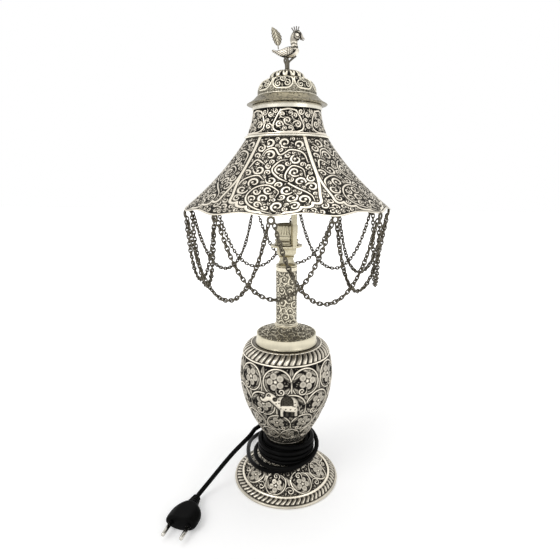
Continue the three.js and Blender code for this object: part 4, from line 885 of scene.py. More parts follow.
def vase():
    side = bezier((22.0, VASE[0]), (37.4, 78.7), (50.6, 101.0), (50.6, 131.0), count=120)
    brow = bezier((50.6, 131.0), (50.6, 145.0), (47.0, VASE[1]), count=40)
    outer = spaced(np.vstack([side, brow[1:]]), 0.6)
    field = Chasing(outer, step=0.22, repeats=5, middle=FRONT + math.radians(13.4))
    length = field.length
    # The ground is laid black for the openwork: painted shade of the dark inside, standing for the holes
    field.lay(0.04)
    rows = []
    radius = field.half(length - 18) / 2
    centre = length - 0.9 - radius
    while centre - 0.6 * radius > 2:
        rows.append((centre, radius))
        below = field.half(centre - 1.5 * radius) / 2
        centre -= 0.84 * (radius + below)
        radius = field.half(centre) / 2
    for leaves in (True, False):
        for i, (centre, radius) in enumerate(rows):
            stalk = field.middle + field.sweep / 4 * (i % 2)
            for way, turn in ((-1, math.pi + 0.6), (1, -0.6)):
                ring = stalk - field.sweep / 4 * way
                flower_ring(field, ring, centre, radius * 0.99, turn, way, leaves, not leaves)
            for beside in (stalk, stalk + field.sweep / 2):
                if not leaves:
                    stem = [(0, centre - 0.95 * radius), (0, centre + 0.1 * radius)]
                    field.outlined(beside, stem, [0.7, 1.0, 0.5], 0.95, edge=0.5)
                    continue
                for heading in (0.8, UPRIGHT, 2.34):
                    for up in (1, -1):
                        root = (0, centre + up * 0.24 * radius)
                        bend = up * 0.8 * (heading - UPRIGHT)
                        field.leaf(beside, root, up * heading, 0.85 * radius, 0.4 * radius, bend, 0.77, 0.6)
    field.fill(seed=3, low=2, high=length - 0.5, sizes=(2.2, 1.7, 1.2, 0.9), tries=1800, height=0.7)
    field.band(1.0, 1.1, 1.05)
    field.spread()
    elephant(field, FRONT + math.radians(1.6), level=rows[1][0] + 2.6, k=1.36)
    inner = [(46.0, 153.6), (49.0, 131.0), (30.0, 70.0), (21.0, 54.4), (6.0, 54.4), (6.0, 53.1)]
    piece = chased_turning("vase_painted_openwork", outer, inner, 510, field, depth=1.3, inside=0.4)
    dress(piece, "base", "painted_openwork_silver", "chased_silver", "vase_bowl")


vase()


def gadroon(field, angle, lean, body, level, crest, groove):
    """One leaning lobe with a bright raised crest on one side, a painted highlight, and a groove on the
    other, each (shift, sizes).
    """
    field.stroke(angle, lean, body, level, soft=0.6)
    # The crest is a painted highlight down the lit edge of the lobe
    field.stroke(angle, lean + (crest[0], -0.2), crest[1], 1.05, soft=1.0)
    field.stroke(angle, lean + (groove[0], 0), groove[1], 0.95, field.pit)


def shoulder():
    bow = bezier((47.4, SHOULDER[0]), (46.0, 162.6), (37.2, SHOULDER[1]), count=60)
    side = np.vstack([bow, (32.9, SHOULDER[1])])
    outer = spaced(side, 0.36)
    field = Chasing(outer, step=0.15, repeats=44)
    length = field.length - 4.3
    field.lay(0.16)
    field.lay(0.5, length + 0.3)
    lean = smooth_path([(-1.9, 2.8), (-0.9, 5.0), (0.9, 8.6), (2.2, length - 1.8)], 8)
    crest, groove = (1.0, [0.9, 1.1, 0.8, 0.5]), (-2.9, [0.75, 0.7, 0.6])
    gadroon(field, FRONT, lean, [2.9, 3.1, 2.5, 1.7], 0.76, crest, groove)
    field.band(0.9, 1.15, 1.1)
    field.band(length - 0.9, 0.8, 1.05)
    field.trench(2.0, 0.3, 0.95)
    inner = side[::-12] - (1.2, 0.6)
    piece = chased_turning("gadroon_shoulder", outer, inner, 528, field, depth=1.2, inside=0.4)
    dress(piece, "base", "scroll_silver", "chased_silver", "vase_shoulder")


shoulder()

NECK_IN = [(29.6, 174.0), (27.5, 174.0), (27.5, 172.8), (29.6, 172.8), (31.8, NECK[0])]
plain_turning(
    "neck_band_plain", "base", "band_silver", "polished_silver", "neck_band", 180,
    (33.0, NECK[0]), arc((33.0, NECK[0] + 0.5), 0.5, -80, 80, 8),
    [(32.9, NECK[0] + 1.1), (32.6, NECK[0] + 1.5), (32.3, NECK[1] - 0.6)],
    arc((31.8, NECK[1] - 0.5), 0.5, 10, 90, 6), [(30.4, NECK[1]), (29.6, NECK[1] - 0.6)], NECK_IN,
)


def engraved(name, node, outer, inner, sizes, columns, repeats, seed, depth, pitch, bare=()):
    """Low engraved scrolls all over a turned piece of the base, with plain bands where it is bare."""
    field = Chasing(outer, step=0.16, repeats=repeats)
    field.lay(0.26)
    room = lambda x, y: np.minimum(y, field.length - y) - 0.3
    field.curls(nested_circles(field, room, 0, field.length, sizes, seed), pitch, seed)
    for low, high in bare:
        field.lay(0.86, low, high)
        field.trench(low, 0.35, 0.8)
        field.trench(high, 0.35, 0.8)
    piece = chased_turning(name, outer, inner, columns, field, depth, inside=0.4)
    dress(piece, "base", "engraved_silver", "chased_silver", node)


cap_rim = [(29.2, 175.4), (31.2, NECK[1] + 0.1), (31.0, NECK[1] + 0.5)]
cap_slope = bezier((30.2, NECK[1] + 0.6), (21.0, 178.0), (12.6, CAP[1]), count=50)
cap_outer = spaced(np.vstack([cap_rim, cap_slope, (6.0, CAP[1])]), 0.45)
cap_inner = [(6.0, 183.5), (11.5, 183.5), (17.5, CAP[0]), (29.2, CAP[0])]
engraved(
    "engraved_neck_cap", "neck_cap", cap_outer, cap_inner, (4.0, 3.4, 2.8, 2.2),
    columns=360, repeats=6, seed=51, depth=0.8, pitch=3.6,
)

column_foot = arc((11.6, COLUMN[0] + 1.0), 1.0, -60, 80, 8)
column_side = np.vstack([(12.5, COLUMN[0]), column_foot, (11.2, COLUMN[0] + 2.6), (11.2, COLUMN[1])])
column_inner = [(10.2, COLUMN[1]), (10.2, COLUMN[0])]
engraved(
    "engraved_column", "column", spaced(column_side, 0.4), column_inner, (4.2, 3.6, 3.0, 2.5, 2.0),
    columns=220, repeats=1, seed=57, depth=0.3, pitch=2.8, bare=((-1, 4.4), (60.6, 80)),
)

plain_turning(
    "turned_capital", "base", "worn_plate", "plated_fittings", "capital", 96,
    [(5.4, 0), (10.9, 0)], arc((10.3, 1.1), 0.9, -60, 70, 8),
    bezier((10.4, 2.2), (7.6, 3.0), (7.2, 8.6), count=12), arc((7.4, 9.8), 1.0, -80, 80, 8),
    bezier((7.2, 11.0), (10.2, 12.2), (10.4, 15.2), count=12),
    [(10.4, 19.6), (9.9, 20.4), (5.4, 20.4)], level=CAPITAL,
)

plain_turning(
    "holder_cup", "base", "worn_plate", "plated_fittings", "holder_base", 96,
    [(5.4, 0), (12.1, 0), (12.4, 0.4), (12.4, 1.6), (12.1, 2.0), (10.7, 2.0), (10.7, 3.2), (12.2, 3.4)],
    [(12.6, 4.2), (12.2, 5.2), (10.7, 5.4), (10.7, 6.4), (11.2, 6.8), (11.2, 9.2), (10.9, 9.4), (9.4, 9.4)],
    [(9.4, 5.0), (8.4, 5.0), (8.4, 2.0), (5.4, 2.0)], level=HOLDER,
)


def holder_sleeve(flutes=24):
    outline = [(7.6, 0), (11.4, 0), (11.4, 1.3), (11.3, 1.9), (11.3, 3.0), (11.3, 9.0)]
    outline += [(11.3, 10.4), (10.6, 11.7), (9.6, 12.0), (7.6, 12.0), (7.6, 7.0), (7.6, 0)]
    piece, rows = turned("fluted_sleeve", np.array(outline) + (0, SLEEVE), 192)
    points = points_of(piece)
    angle = np.arctan2(points[:, 1], points[:, 0])
    sink = np.where(np.isin(rows, (4, 5)), 0.8 * np.clip(-np.cos(flutes * angle), -0.3, 1), 0)
    points[:, 0] -= sink * np.cos(angle)
    points[:, 1] -= sink * np.sin(angle)
    set_points(piece, points)
    dress(piece, "base", "worn_plate", "plated_fittings", "holder_sleeve")
    piece.data.set_sharp_from_angle(angle=CREASE)


holder_sleeve()


def foot():
    lobes = 8
    roll = arc((57.8, 1.6), 1.6, -90, 100, 14)
    rise = bezier((57.4, 3.2), (53.6, 6.2), (50.8, 6.5), count=20)
    bead = arc((49.2, 6.7), 1.4, 20, 165, 10)
    bell = bezier((47.6, 7.3), (37.9, 12.2), (24.9, 22.9), (20.8, 31.4), count=90)
    outer = spaced(np.vstack([roll, rise, bead, bell, (20.2, 32.0), (5.4, 32.0)]), 0.5)
    field = Chasing(outer, step=0.2, repeats=8, middle=FRONT + math.radians(-9.6))
    rolled = run_along(roll)[-1]
    rising = rolled + run_along(rise)[-1]
    beaded = rising + run_along(bead)[-1] + 0.8
    belled = beaded + run_along(bell)[-1]
    field.lay(0.05)
    lean = [(-1.5, rolled + 1.4), (-0.6, rolled + 3.0), (0.9, rolled + 4.6), (2.2, rising - 0.8)]
    lean = smooth_path(lean, 6)
    crest, groove = (0.8, [0.8, 0.9, 0.7, 0.4]), (-2.3, [0.6, 0.55, 0.5])
    for k in range(lobes):
        angle = field.start + field.sweep * (k + 0.5) / lobes
        gadroon(field, angle, lean, [2.3, 2.4, 2.0, 1.4], 0.68, crest, groove)
    flower_ring(field, field.middle, beaded + 12.2, 12.4, 2.2, 1)
    between = field.middle + field.sweep / 2
    field.scroll(between, (0.6, beaded + 5.2), 4.2, 1.2, -1, 0.8)
    field.leaf(between, (0, beaded + 10.4), UPRIGHT, 9.0, 3.4, 0.4)
    for heading, curl in ((0.9, -0.6), (2.24, 0.6)):
        field.leaf(between, (0, beaded + 16.0), heading, 7.0, 2.6, curl)
    upper = lambda x, y: np.minimum(y - beaded - 24, belled - y)
    circles = nested_circles(field, upper, beaded + 24, belled, (3.4, 2.6, 2.0, 1.5), seed=61)
    scrollwork(field, circles, seed=4, size=0.75)
    field.fill(seed=6, low=beaded, high=belled, sizes=(2.0, 1.5, 1.1, 0.8), tries=1600, height=0.72)
    field.lay(0.74, -1, rolled + 0.2)
    field.trench(rolled + 0.6, 0.45, 0.95)
    field.lay(0.95, rising + 0.2, beaded - 0.3)
    field.trench(beaded + 0.2, 0.4, 0.95)
    field.lay(0.88, belled - 1.0)
    inner = [(5.4, 30.8), (19.6, 30.8), (23.5, 22.5), (36.5, 11.6), (47.2, 6.0), (50.5, 5.2), (56.2, 2.4)]
    inner += [(57.0, 1.3), (55.0, 1.2), (55.0, 0.0)]
    piece = chased_turning("chased_foot", outer, inner, 560, field, depth=1.1, inside=0.45)
    points = points_of(piece)
    hole = (np.hypot(points[:, 0], points[:, 2] - GLAND) < GLAND_HOLE) & (points[:, 1] > 20)
    bm = bmesh.new()
    bm.from_mesh(piece.data)
    bm.verts.ensure_lookup_table()
    bmesh.ops.delete(bm, geom=[bm.verts[i] for i in np.flatnonzero(hole)], context="VERTS")
    bm.to_mesh(piece.data)
    bm.free()
    points = points_of(piece)
    points[:, 2] = np.maximum(points[:, 2], 0)
    set_points(piece, points)
    dress(piece, "base", "scroll_silver", "chased_silver", "foot")


foot()

plain_turning(
    "waist_spool", "base", "band_silver", "chased_silver", "waist", 96,
    bezier((20.8, WAIST[0]), (19.4, 42.5), (20.8, WAIST[1]), count=20),
    [(5.4, WAIST[1]), (5.4, 51.4), (19.4, 51.4), (18.8, 42.5), (19.4, WAIST[0])],
)


# Eyes and chains under the rim

EYE_LEVEL = 306.75
EYE_CIRCLE = 102.8


def eye_place(i):
    """The middle of an eye ring; the two sets stand a little outside and inside their circle."""
    radius = EYE_CIRCLE + (-1 if i % 2 else 1)
    angle = FRONT + TAU * i / EYES
    return np.array([radius * math.cos(angle), radius * math.sin(angle), EYE_LEVEL])


def wire_ring(across, wire, around, sides, stretch=1.0):
    """A round wire bent into a ring, made longer than it is wide by the stretch."""
    bm = bmesh.new()
    made = bmesh.ops.create_circle(bm, segments=sides, radius=wire * MM)["verts"]
    bmesh.ops.rotate(bm, verts=made, cent=(0, 0, 0), matrix=Matrix.Rotation(math.pi / 2, 3, "X"))
    bmesh.ops.translate(bm, verts=made, vec=(across * MM, 0, 0))
    whole = {"angle": TAU, "axis": (0, 0, 1), "cent": (0, 0, 0)}
    bmesh.ops.spin(bm, geom=bm.verts[:] + bm.edges[:], steps=around, use_merge=True, **whole)
    bmesh.ops.recalc_face_normals(bm, faces=bm.faces)
    bmesh.ops.scale(bm, verts=bm.verts, vec=(stretch, 1, 1))
    # Spinning leaves points and faces in a different order from run to run, so they are set along a slant
    slant = Vector((1.0, 0.618, 0.317))
    bm.verts.sort(key=lambda vert: vert.co.dot(slant))
    bm.faces.sort(key=lambda face: face.calc_center_median().dot(slant))
    return as_mesh("wire_ring", bm)


def gathered(name, mesh, placings):
    """Copies of one mesh at many placings, as one piece."""
    bm = bmesh.new()
    for placing in placings:
        before = len(bm.verts)
        bm.from_mesh(mesh)
        bm.verts.ensure_lookup_table()
        bmesh.ops.transform(bm, matrix=placing, verts=bm.verts[before:])
    return as_piece(name, bm)


def set_at(place, forward, up):
    """A placing with its own x along forward and its own z as near up as it can be."""
    x = Vector(forward).normalized()
    y = Vector(up).cross(x).normalized()
    turn = Matrix((x, y, x.cross(y))).transposed().to_4x4()
    return Matrix.Translation(Vector(place) * MM) @ turn


eye_placings = [set_at(eye_place(i), (0, 0, 1), eye_place(i) * (1, 1, 0)) for i in range(EYES)]
eye_rings = gathered("eye_rings", wire_ring(across=2.7, wire=1.0, around=20, sides=8), eye_placings)
dress(eye_rings, "shade", "dark_chain", "oxidised_chain", *[f"eye_ring_{i + 1:02d}" for i in range(EYES)])


def hanging_line(i):
    """The rest line of a swag, at even steps, and the direction square to its plane."""
    lean = math.radians(-1.5 if i % 2 else 1.5)
    middle = FRONT + TAU * (i + 1) / EYES
    down = np.array([math.sin(lean) * math.cos(middle), math.sin(lean) * math.sin(middle), -math.cos(lean)])
    sag = 68 if i % 2 else 72
    start, end = eye_place(i), eye_place((i + 2) % EYES)
    across = (end - start) / np.linalg.norm(end - start)
    inward, below = across * 2.7, (0, 0, 2.75)
    start = start + inward - below
    end = end - inward - below
    half = np.linalg.norm(end - start) / 2
    low, high = half / 20, half * 20
    for _ in range(60):
        flat = (low + high) / 2
        if flat * (math.cosh(half / flat) - 1) < sag:
            high = flat
        else:
            low = flat
    along = flat * np.arcsinh(np.linspace(-1, 1, 400) * math.sinh(half / flat))
    drop = sag - flat * (np.cosh(along / flat) - 1)
    line = start + (end - start) * ((along / half + 1) / 2)[:, None] + down * drop[:, None]
    return spaced(line, 0.5), np.cross(down, across)


def chain_swags(pitch=3.75):
    link = wire_ring(across=1.76, wire=0.71, around=10, sides=5, stretch=1.46)
    for i in range(EYES):
        line, out = hanging_line(i)
        run = run_along(line)
        count = int(run[-1] / pitch)
        point = lambda at: np.array([np.interp(at, run, axis) for axis in line.T])
        placings = []
        for k, at in enumerate((np.arange(count) + 0.5) * run[-1] / count):
            twist = math.radians(90 * (k % 2) + 16 * math.sin(2.1 * k + i))
            placing = set_at(point(at), point(at + 0.6) - point(at - 0.6), out)
            placings.append(placing @ Matrix.Rotation(twist, 4, "X"))
        piece = gathered(f"link_chain_{i + 1:02d}", link, placings)
        dress(piece, f"swag_{i + 1:02d}", "dark_chain", "oxidised_chain", f"chain_swag_{i + 1:02d}")


chain_swags()


# Bird on its stem


def wire(name, route, radius, resolution=3):
    """A round wire along a route."""
    data = bpy.data.curves.new(name, "CURVE")
    data.dimensions = "3D"
    data.bevel_depth = radius * MM
    data.bevel_resolution = resolution
    data.use_fill_caps = True
    spline = data.splines.new("POLY")
    spline.points.add(len(route) - 1)
    spline.points.foreach_set("co", np.hstack([route * MM, np.ones((len(route), 1))]).ravel())
    spline.use_smooth = True
    return bpy.data.objects.new(name, data)


def lofted(name, level, segments, rounding, *stations):
    """Ovals set along a spine and bridged, then rounded; each is (x, z, half height, half width, tilt)."""
    bm = bmesh.new()
    loops = []
    for x, z, high, wide, tilt in stations:
        made = bmesh.ops.create_circle(bm, segments=segments, radius=1)["verts"]
        turn = Matrix.Rotation(math.radians(tilt), 4, "Y") @ Matrix.Rotation(math.pi / 2, 4, "Y")
        place = Matrix.Translation(Vector((x, 0, level + z)) * MM)
        size = Matrix.Diagonal((high * MM, wide * MM, 1, 1))
        bmesh.ops.transform(bm, matrix=place @ turn @ size, verts=made)
        loops.append(list({edge for vert in made for edge in vert.link_edges}))
    for first, second in zip(loops, loops[1:]):
        bmesh.ops.bridge_loops(bm, edges=first + second)
    for end in (loops[0], loops[-1]):
        bmesh.ops.holes_fill(bm, edges=end, sides=segments)
    bmesh.ops.recalc_face_normals(bm, faces=bm.faces)
    for _ in range(rounding):
        bmesh.ops.subdivide_edges(bm, edges=bm.edges[:], cuts=1, use_grid_fill=True, smooth=0.6)
    bmesh.ops.triangulate(bm, faces=[face for face in bm.faces if len(face.verts) > 4])
    return as_piece(name, bm)


def line_at(value, width):
    """A dark line where a value is nought, that fades over a width."""
    return np.exp(-((value / width) ** 2))


def bird_part(piece, tone, *nodes):
    """A part of the bird, toned point by point or all over."""
    tell_relief(piece, np.zeros(len(piece.data.vertices)) + tone)
    dress(piece, "lid", "bird_silver", "chased_silver", *nodes)


def bird_trunk():
    piece = lofted(
        "bird_trunk", BIRD, 20, 3,
        (-14.6, 8.2, 0.5, 1.0, 22), (-11.4, 6.8, 1.3, 2.1, 20), (-7.4, 5.9, 2.6, 3.3, 14),
        (-2.8, 5.8, 4.2, 4.2, 4), (1.8, 6.0, 5.0, 4.7, -6), (6.0, 6.8, 4.5, 4.4, -22),
        (8.8, 8.0, 3.0, 3.1, -40), (10.1, 9.0, 1.2, 1.4, -50),
    )
    points = points_of(piece)
    along, up = points[:, 0], points[:, 2] - BIRD
    wing = np.hypot((along + 1.5) / 9.0, (up - 6.4 - 0.12 * along) / 4.1)
    lines = np.abs((up - 0.35 * along) / 1.5 % 1 - 0.5) * 2
    rows = np.abs((along + 0.25 * np.cos(4 * up)) / 1.7 % 1 - 0.5) * 2
    plumes = np.where(along < 0.5, lines, np.minimum(rows, lines + 0.2))
    tone = np.where(wing < 1, 0.08 + 0.9 * np.clip(plumes * 1.5, 0, 1), 0.84) - 0.9 * line_at(wing - 1, 0.12)
    tone = np.where(along < -9, 0.1 + 0.75 * np.clip(lines * 1.2, 0, 1), tone)
    points[:, 1] *= 1 + 0.05 * (tone - 0.6)
    set_points(piece, points)
    # The lowest part of the body is made darker towards the bottom: painted shade under the bird
    bird_part(piece, np.clip(tone - 0.3 * np.clip((2.4 - up) / 2, 0, 1), 0.02, 1), "bird_body")


def bird_head():
    neck = lofted(
        "bird_neck", BIRD, 20, 2,
        (4.8, 6.4, 3.8, 3.7, -66), (6.9, 10.0, 3.5, 3.2, -80), (6.4, 13.2, 3.2, 2.9, -94),
        (6.4, 16.2, 3.7, 3.2, -86), (7.6, 19.2, 4.3, 3.6, -58), (9.8, 20.8, 4.1, 3.5, -16),
        (12.0, 20.2, 2.9, 2.6, 22), (13.6, 19.0, 1.5, 1.3, 34), (15.4, 17.6, 0.6, 0.55, 30),
        (16.6, 16.9, 0.14, 0.16, 20),
    )
    points = points_of(neck)
    along, up = points[:, 0], points[:, 2] - BIRD
    scales = np.cos(2.2 * up + 0.8 * np.cos(3 * points[:, 1])) * (up < 15.5)
    cheek = np.hypot(along - 9.6, up - 19.4)
    tone = 0.68 + 0.3 * scales - 0.7 * line_at(cheek - 3.0, 0.4) - 0.5 * line_at(along - 12.8, 0.4)
    bird_part(neck, np.clip(tone - 0.6 * line_at(up - 7.6 - 0.25 * along, 0.6), 0.02, 1))
    beak = ((12.0, 18.0, 0.9, 0.9, 30), (13.8, 16.6, 0.55, 0.6, 30), (15.8, 15.9, 0.12, 0.14, 18))
    bird_part(lofted("bird_lower_beak", BIRD, 10, 1, *beak), 0.45)
    eye = (10.0, BIRD + 20.0)
    rims = [set_at((eye[0], way * 3.25, eye[1]), (1, 0, 0), (0, way, 0)) for way in SIDES]
    bird_part(gathered("bird_eye_rims", wire_ring(across=1.7, wire=0.36, around=20, sides=6), rims), 0.16)
    bm = bmesh.new()
    for way in SIDES:
        made = bmesh.ops.create_icosphere(bm, subdivisions=3, radius=1.4 * MM)["verts"]
        bmesh.ops.scale(bm, verts=made, vec=(1, 0.4, 1))
        bmesh.ops.translate(bm, verts=made, vec=Vector((eye[0], way * 3.2, eye[1])) * MM)
    bird_part(as_piece("bird_eyes", bm), 1.0)


def bird_trim():
    bm = bmesh.new()
    for k in range(4):
        lean = Matrix.Rotation(-0.6 + 0.3 * k, 3, "Y")
        place = Vector((6.4 + 1.1 * k, 0, BIRD + 23.6 + 0.5 * math.sin(0.9 * k)))
        pin = {"segments": 8, "radius1": 0.55 * MM, "radius2": 0.45 * MM, "depth": 3.6 * MM}
        made = bmesh.ops.create_cone(bm, cap_ends=True, **pin)["verts"]
        bmesh.ops.translate(bm, verts=made, vec=(0, 0, 1.8 * MM))
        bmesh.ops.rotate(bm, verts=made, cent=(0, 0, 0), matrix=lean)
        bmesh.ops.translate(bm, verts=made, vec=place * MM)
        tip = bmesh.ops.create_icosphere(bm, subdivisions=2, radius=0.6 * MM)["verts"]
        bmesh.ops.translate(bm, verts=tip, vec=(lean @ Vector((0, 0, 3.8)) + place) * MM)
    bird_part(as_piece("bird_crest_pins", bm), 0.4)
    brow = [set_at((8.0, 0, BIRD + 23.0), (1, 0, 0.35), (-0.35, 0, 1))]
    brow_ring = wire_ring(across=2.9, wire=0.5, around=24, sides=6, stretch=1.2)
    bird_part(gathered("bird_brow", brow_ring, brow), 0.2)
    near = [(-1.4, -1.2, 2.0), (-2.6, -1.2, -1.2), (-1.4, -1.0, -4.6), (-1.0, -0.9, -9.4)]
    far = [(8.4, 0.6, 3.0), (4.6, 0.8, 0.4), (1.6, 0.8, -2.2), (1.2, 0.8, -5.0), (1.2, 0.8, -9.4)]
    for name, path in (("bird_leg_near", near), ("bird_leg_far", far)):
        route = smooth_path(np.array(path) + (0, 0, BIRD), 6)
        dress(wire(name, route, 0.95), "lid", "dark_stem", "chased_silver")


def tail_feather():
    """An upright leaf on a stalk, chased with a midrib and slanting barbs."""
    bm = bmesh.new()
    bmesh.ops.create_grid(bm, x_segments=22, y_segments=44, size=0.5)
    piece = as_piece("tail_leaf", bm)
    points = points_of(piece) * MM
    across, up = points[:, 0] * 2, points[:, 1] + 0.5
    width = np.where(up < 0.16, 0.5, 4.4 * np.sin(math.pi * np.clip((up - 0.1) / 0.9, 0, 1)) ** 0.7)
    width = np.maximum(width, 0.35)
    centre = -8.6 - 1.2 * up - 4.6 * up**3
    width *= 1 + 0.07 * np.cos(44 * up) * np.clip(width / 3, 0, 1)
    barbs = np.cos(44 * up + 9 * np.abs(across))
    midrib = np.exp(-((across * 7) ** 2))
    depth = 0.45 * np.cos(across * math.pi / 2) + 0.1 * barbs * np.clip(width / 3, 0, 1) + 0.3 * midrib
    set_points(piece, np.stack([centre + across * width, depth, BIRD + 9.1 + 19.4 * up], axis=1))
    margin = np.clip(np.abs(across) - 0.8, 0, 1)
    tell_relief(piece, np.clip(0.43 + 0.24 * barbs + 0.35 * midrib - 1.5 * margin, 0.1, 1))
    bm = bmesh.new()
    bm.from_mesh(piece.data)
    back = bmesh.ops.duplicate(bm, geom=bm.verts[:] + bm.edges[:] + bm.faces[:])["geom"]
    bmesh.ops.scale(bm, verts=[item for item in back if isinstance(item, bmesh.types.BMVert)], vec=(1, -1, 1))
    bmesh.ops.remove_doubles(bm, verts=bm.verts, dist=0.02 * MM)
    bmesh.ops.recalc_face_normals(bm, faces=bm.faces)
    bm.to_mesh(piece.data)
    bm.free()
    dress(piece, "lid", "engraved_silver", "plated_fittings", "tail_feather")


bird_trunk()
bird_head()
bird_trim()
tail_feather()

plain_turning(
    "finial_stem_turned", "lid", "dark_stem", "chased_silver", "finial_stem", 40,
    [(0.02, STEM[0]), (3.2, STEM[0]), (3.4, STEM[0] + 0.7), (2.4, STEM[0] + 1.8), (1.5, STEM[0] + 3.2)],
    [(1.5, STEM[1] + 1.0), (0.02, STEM[1] + 1.0)], shut=False,
)


# Mains cord: out of the back of the foot, round its left side, wound on the waist, and off to the plug

PITCH = 5.75
LOOPS = 3.25
WOUND_RADIUS = 24
WOUND_LOW = 33.2
WOUND_TOP = WOUND_LOW + LOOPS * PITCH
OVER_LOW = 30.4
WOUND_END = math.radians(157) + TAU
OVER_START = WOUND_END - math.radians(330)
OUTER_END = OVER_START - TAU / 2
OUTER_START = OUTER_END - 3 * TAU
INNER_END = OUTER_START - TAU / 2
WOUND_START = INNER_END - 3 * TAU
PLUG = np.array([-91.0, -87.6, 7.5])
PLUG_HEADING = math.radians(263)
PLUG_WAY = np.array([math.cos(PLUG_HEADING), math.sin(PLUG_HEADING), 0])
PLUG_BACK = 26.1


def eased(low, high, value):
    t = np.clip((value - low) / (high - low), 0, 1)
    return t * t * (3 - 2 * t)


def wound(angle):
    """The winding: up the waist, down over itself, and once round outside to the top again."""
    step = eased(OUTER_END, OVER_START, angle)
    radius = WOUND_RADIUS + PITCH * (eased(INNER_END, OUTER_START, angle) + step)
    inner = np.minimum((angle - WOUND_START) / TAU, LOOPS)
    outer = np.clip((angle - INNER_END) / TAU - 0.25, 0, LOOPS)
    level = (WOUND_LOW + (inner - outer) * PITCH) * (1 - step) + OVER_LOW * step
    climb = eased(OVER_START + TAU / 8, WOUND_END - TAU / 12, angle)
    level = level * (1 - climb) + WOUND_TOP * climb
    return np.stack([radius * np.cos(angle), radius * np.sin(angle), level], axis=1)


def cord_route():
    turns = wound(np.linspace(WOUND_START, WOUND_END, int(32 * (WOUND_END - WOUND_START) / TAU)))
    first_way = (turns[1] - turns[0]) / np.linalg.norm(turns[1] - turns[0])
    last_way = (turns[-1] - turns[-2]) / np.linalg.norm(turns[-1] - turns[-2])
    tail = [
        (0, 51.3, GLAND), (0, 53.8, GLAND), (0, 56.3, GLAND), (0, 60.4, 12), (-0.6, 67, 9.8), (-3.4, 75.5, 6),
        (-10, 83, 3.4), (-20, 87, 2.8), (-31, 86, 2.8), (-41, 80, 2.8), (-48, 70, 3.2), (-51.6, 57, 5.4),
        (-52, 44, 9), (-50.6, 30, 12.4), (-48, 16, 15.2), (-44, 2, 17.6), (-37.8, -11.5, 19.8),
        (-28.4, -22.6, 21.8), (-16.2, -29.6, 23.8), (-2.4, -31.4, 25.6), (10.6, -27.6, 26.8),
        (20.4, -18.4, 27.8), (25.2, -6.8, 28.7), (25, 5.3, 29.4), (19.5, 16.4, 30.1), (8.7, 23.9, 30.8),
        (-4.5, 25, 31.5), (-16.2, 19.5, 32.2), (-21.4, 13.9, 32.55),
        *[turns[0] - first_way * d for d in (10.3, 7.8, 5.3, 2.6)],
    ]
    lead = [
        *[turns[-1] + last_way * d for d in (2.6, 5.3, 7.8, 10.3)],
        (-40.8, -5.8, 50.2), (-47.4, -14.8, 45.8), (-55, -21.8, 39.6), (-62.2, -28, 32.6), (-69, -34.4, 25.4),
        (-75.2, -40.6, 18.8), (-80.6, -46.4, 13.2), (-84.8, -51.8, 9.2),
        *[PLUG - PLUG_WAY * (PLUG_BACK + d) for d in (5, 2.5, -4)],
    ]
    return np.vstack([smooth_path(tail, 3)[:-1], turns, smooth_path(lead, 3)])


route = cord_route()
cord_length = run_along(route)[-1]
mains_cord = wire("mains_cord", route, CORD_RADIUS, 4)
dress(mains_cord, "base", "cord_vinyl", "black_vinyl", "cord_tail", "cord_winding", "cord_lead")


def plug_pieces():
    lay = Matrix.Translation(Vector(PLUG) * MM) @ Matrix.Rotation(PLUG_HEADING, 4, "Z")
    made = []

    def seated(piece, place, *dressing):
        piece.data.transform(place)
        dress(piece, "base", *dressing)
        made.append(piece)

    half_long, half_high, half_apart = 13.8, 7.2, 9.5
    body = lofted(
        "plug_housing", 0, 28, 1,
        (-13.4, 0, 4.6, 5.4, 0), (-12.4, 0, 6.0, 8.0, 0), (-9.6, 0, 6.9, 11.2, 0), (-5.0, 0, 7.2, 14.4, 0),
        (0.0, 0, 7.2, 16.1, 0), (6.0, 0, 7.2, 16.5, 0), (10.6, 0, 7.1, 16.3, 0), (12.6, 0, 6.6, 15.6, 0),
        (13.5, 0, 5.2, 14.0, 0),
    )
    points = points_of(body)
    points[:, 2] = np.sign(points[:, 2]) * np.minimum(np.abs(points[:, 2]) * 1.16, half_high)
    set_points(body, points)
    seated(body, lay, "plug_vinyl", "black_vinyl", "plug_body")
    sleeve = [(0.05, 0.0), (6.2, 0.0), (6.2, 0.8)]
    for i in range(4):
        outer, up = 6.0 - 0.5 * i, 2.8 * i
        sleeve += [(outer, 1.0 + up), (outer, 2.6 + up), (outer - 1.1, 2.9 + up), (outer - 1.1, 3.5 + up)]
    sleeve += [(3.2, 12.0), (2.4, 12.0)]
    seat = Matrix.Translation((-half_long * MM, 0, 0)) @ Matrix.Rotation(-math.pi / 2, 4, "Y")
    ribbed = turned("plug_sleeve_ribbed", sleeve, 40)[0]
    seated(ribbed, lay @ seat, "plug_vinyl", "black_vinyl", "plug_sleeve")
    pin = [(0.02, 0), (2.0, 0), (2.0, 15.4), (1.9, 16.2), (1.5, 16.8), (0.8, 17.0), (0.02, 17.0)]
    collar = [(0.02, 0), (2.6, 0), (2.6, 1.2), (2.2, 1.5), (0.02, 1.5)]
    for side, node in ((1, "plug_pin_left"), (-1, "plug_pin_right")):
        seat = Matrix.Translation(Vector((half_long, side * half_apart, 0)) * MM)
        seat = seat @ Matrix.Rotation(math.pi / 2, 4, "Y")
        seated(turned(node + "_rod", pin, 32)[0], lay @ seat, "nickel_pin", "nickel_pins", node)
        seated(turned(node + "_collar", collar, 32)[0], lay @ seat, "plug_vinyl", "black_vinyl")
    return made


plug = plug_pieces()


# Frame nodes that stay in view keep their shape and get their finish

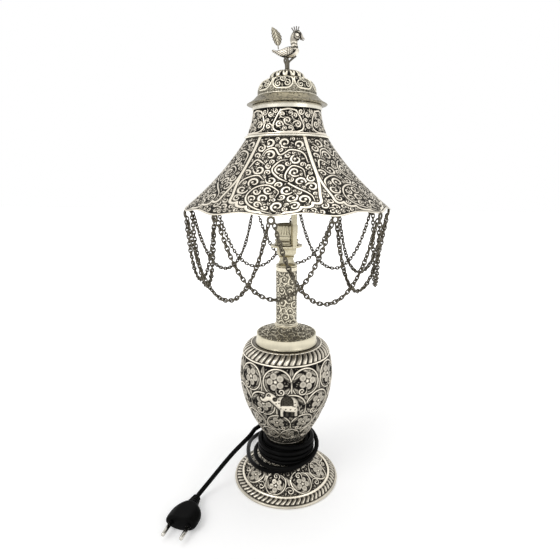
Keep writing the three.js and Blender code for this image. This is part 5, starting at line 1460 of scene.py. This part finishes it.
for look, nodes in {
    "worn_plate": ["harp"],
    "turned_brass": ["clamp_nut", "shade_spider", "tie_tube", "tie_nut", "tie_washer", "holder_contact"],
    "glazed_white": ["holder_insulator"],
    "cord_vinyl": ["inner_flex"],
    "plug_vinyl": ["cord_gland"],
}.items():
    for node in nodes:
        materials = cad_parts[node].data.materials
        materials.clear()
        materials.append(LOOKS[look])


def paper_floor():
    bm = bmesh.new()
    bmesh.ops.create_grid(bm, x_segments=1, y_segments=1, size=4)
    floor = as_piece("floor", bm)
    scene.collection.objects.link(floor)
    paper = Finish("paper_floor", roughness=0.9, emission_strength=1.0)
    paper.feed("Base Color", paper.ramp(paper.noise(3, 1), (0.3, 0.86), (0.7, 0.88)))
    # The floor glows for camera and glossy rays, faintly near the lamp and more further out: painted light
    # that blends the floor into the white backdrop while the shadow near the lamp stays
    away = paper.node("VectorMath", {"operation": "LENGTH"}, {0: paper.place()}, "Value")
    seen = paper.node("LightPath", output="Is Camera Ray") + paper.node("LightPath", output="Is Glossy Ray")
    fade = {"Value": away, "From Min": 0.3, "From Max": 1.1, "To Min": 0.24, "To Max": 0.8}
    paper.feed("Emission Color", paper.ramp(paper.node("MapRange", inputs=fade) * seen, (0.0, 0), (1.0, 1)))
    floor.data.materials.append(LOOKS["paper_floor"])
    floor.location = (0, 0, -0.0002)


def lights():
    middle = Vector((0, 0, 0.22))
    for name, place, size, power in (
        ("key", (-0.9, -1.1, 1.5), 0.9, 9),
        ("fill", (1.3, -0.9, 1.0), 1.0, 3.5),
        ("top", (0.1, 0.3, 1.9), 1.2, 6),
    ):
        lamp = bpy.data.lights.new(name, "AREA")
        lamp.size = size
        lamp.energy = power
        holder = bpy.data.objects.new(name, lamp)
        holder.location = place
        holder.rotation_euler = (middle - Vector(place)).to_track_quat("-Z", "Y").to_euler()
        scene.collection.objects.link(holder)


def white_world(strength=0.7):
    """Even light of one strength, seen as plain white by the camera and in reflections."""
    world = scene.world = bpy.data.worlds.new("studio")
    world.use_nodes = True
    nodes, links = world.node_tree.nodes, world.node_tree.links
    nodes.clear()
    out = nodes.new("ShaderNodeOutputWorld")
    back = nodes.new("ShaderNodeBackground")
    back.inputs["Color"].default_value = (1, 1, 1, 1)
    links.new(back.outputs[0], out.inputs[0])
    path = nodes.new("ShaderNodeLightPath")
    level = None
    for ray in ("Is Camera Ray", "Is Glossy Ray", "Is Transmission Ray"):
        brighter = nodes.new("ShaderNodeMath")
        brighter.operation = "MAXIMUM"
        brighter.inputs[1].default_value = strength
        links.new(path.outputs[ray], brighter.inputs[0])
        if level:
            links.new(level, brighter.inputs[1])
        level = brighter.outputs[0]
    links.new(level, back.inputs["Strength"])


paper_floor()
lights()
white_world()
scene.view_settings.view_transform = "Standard"
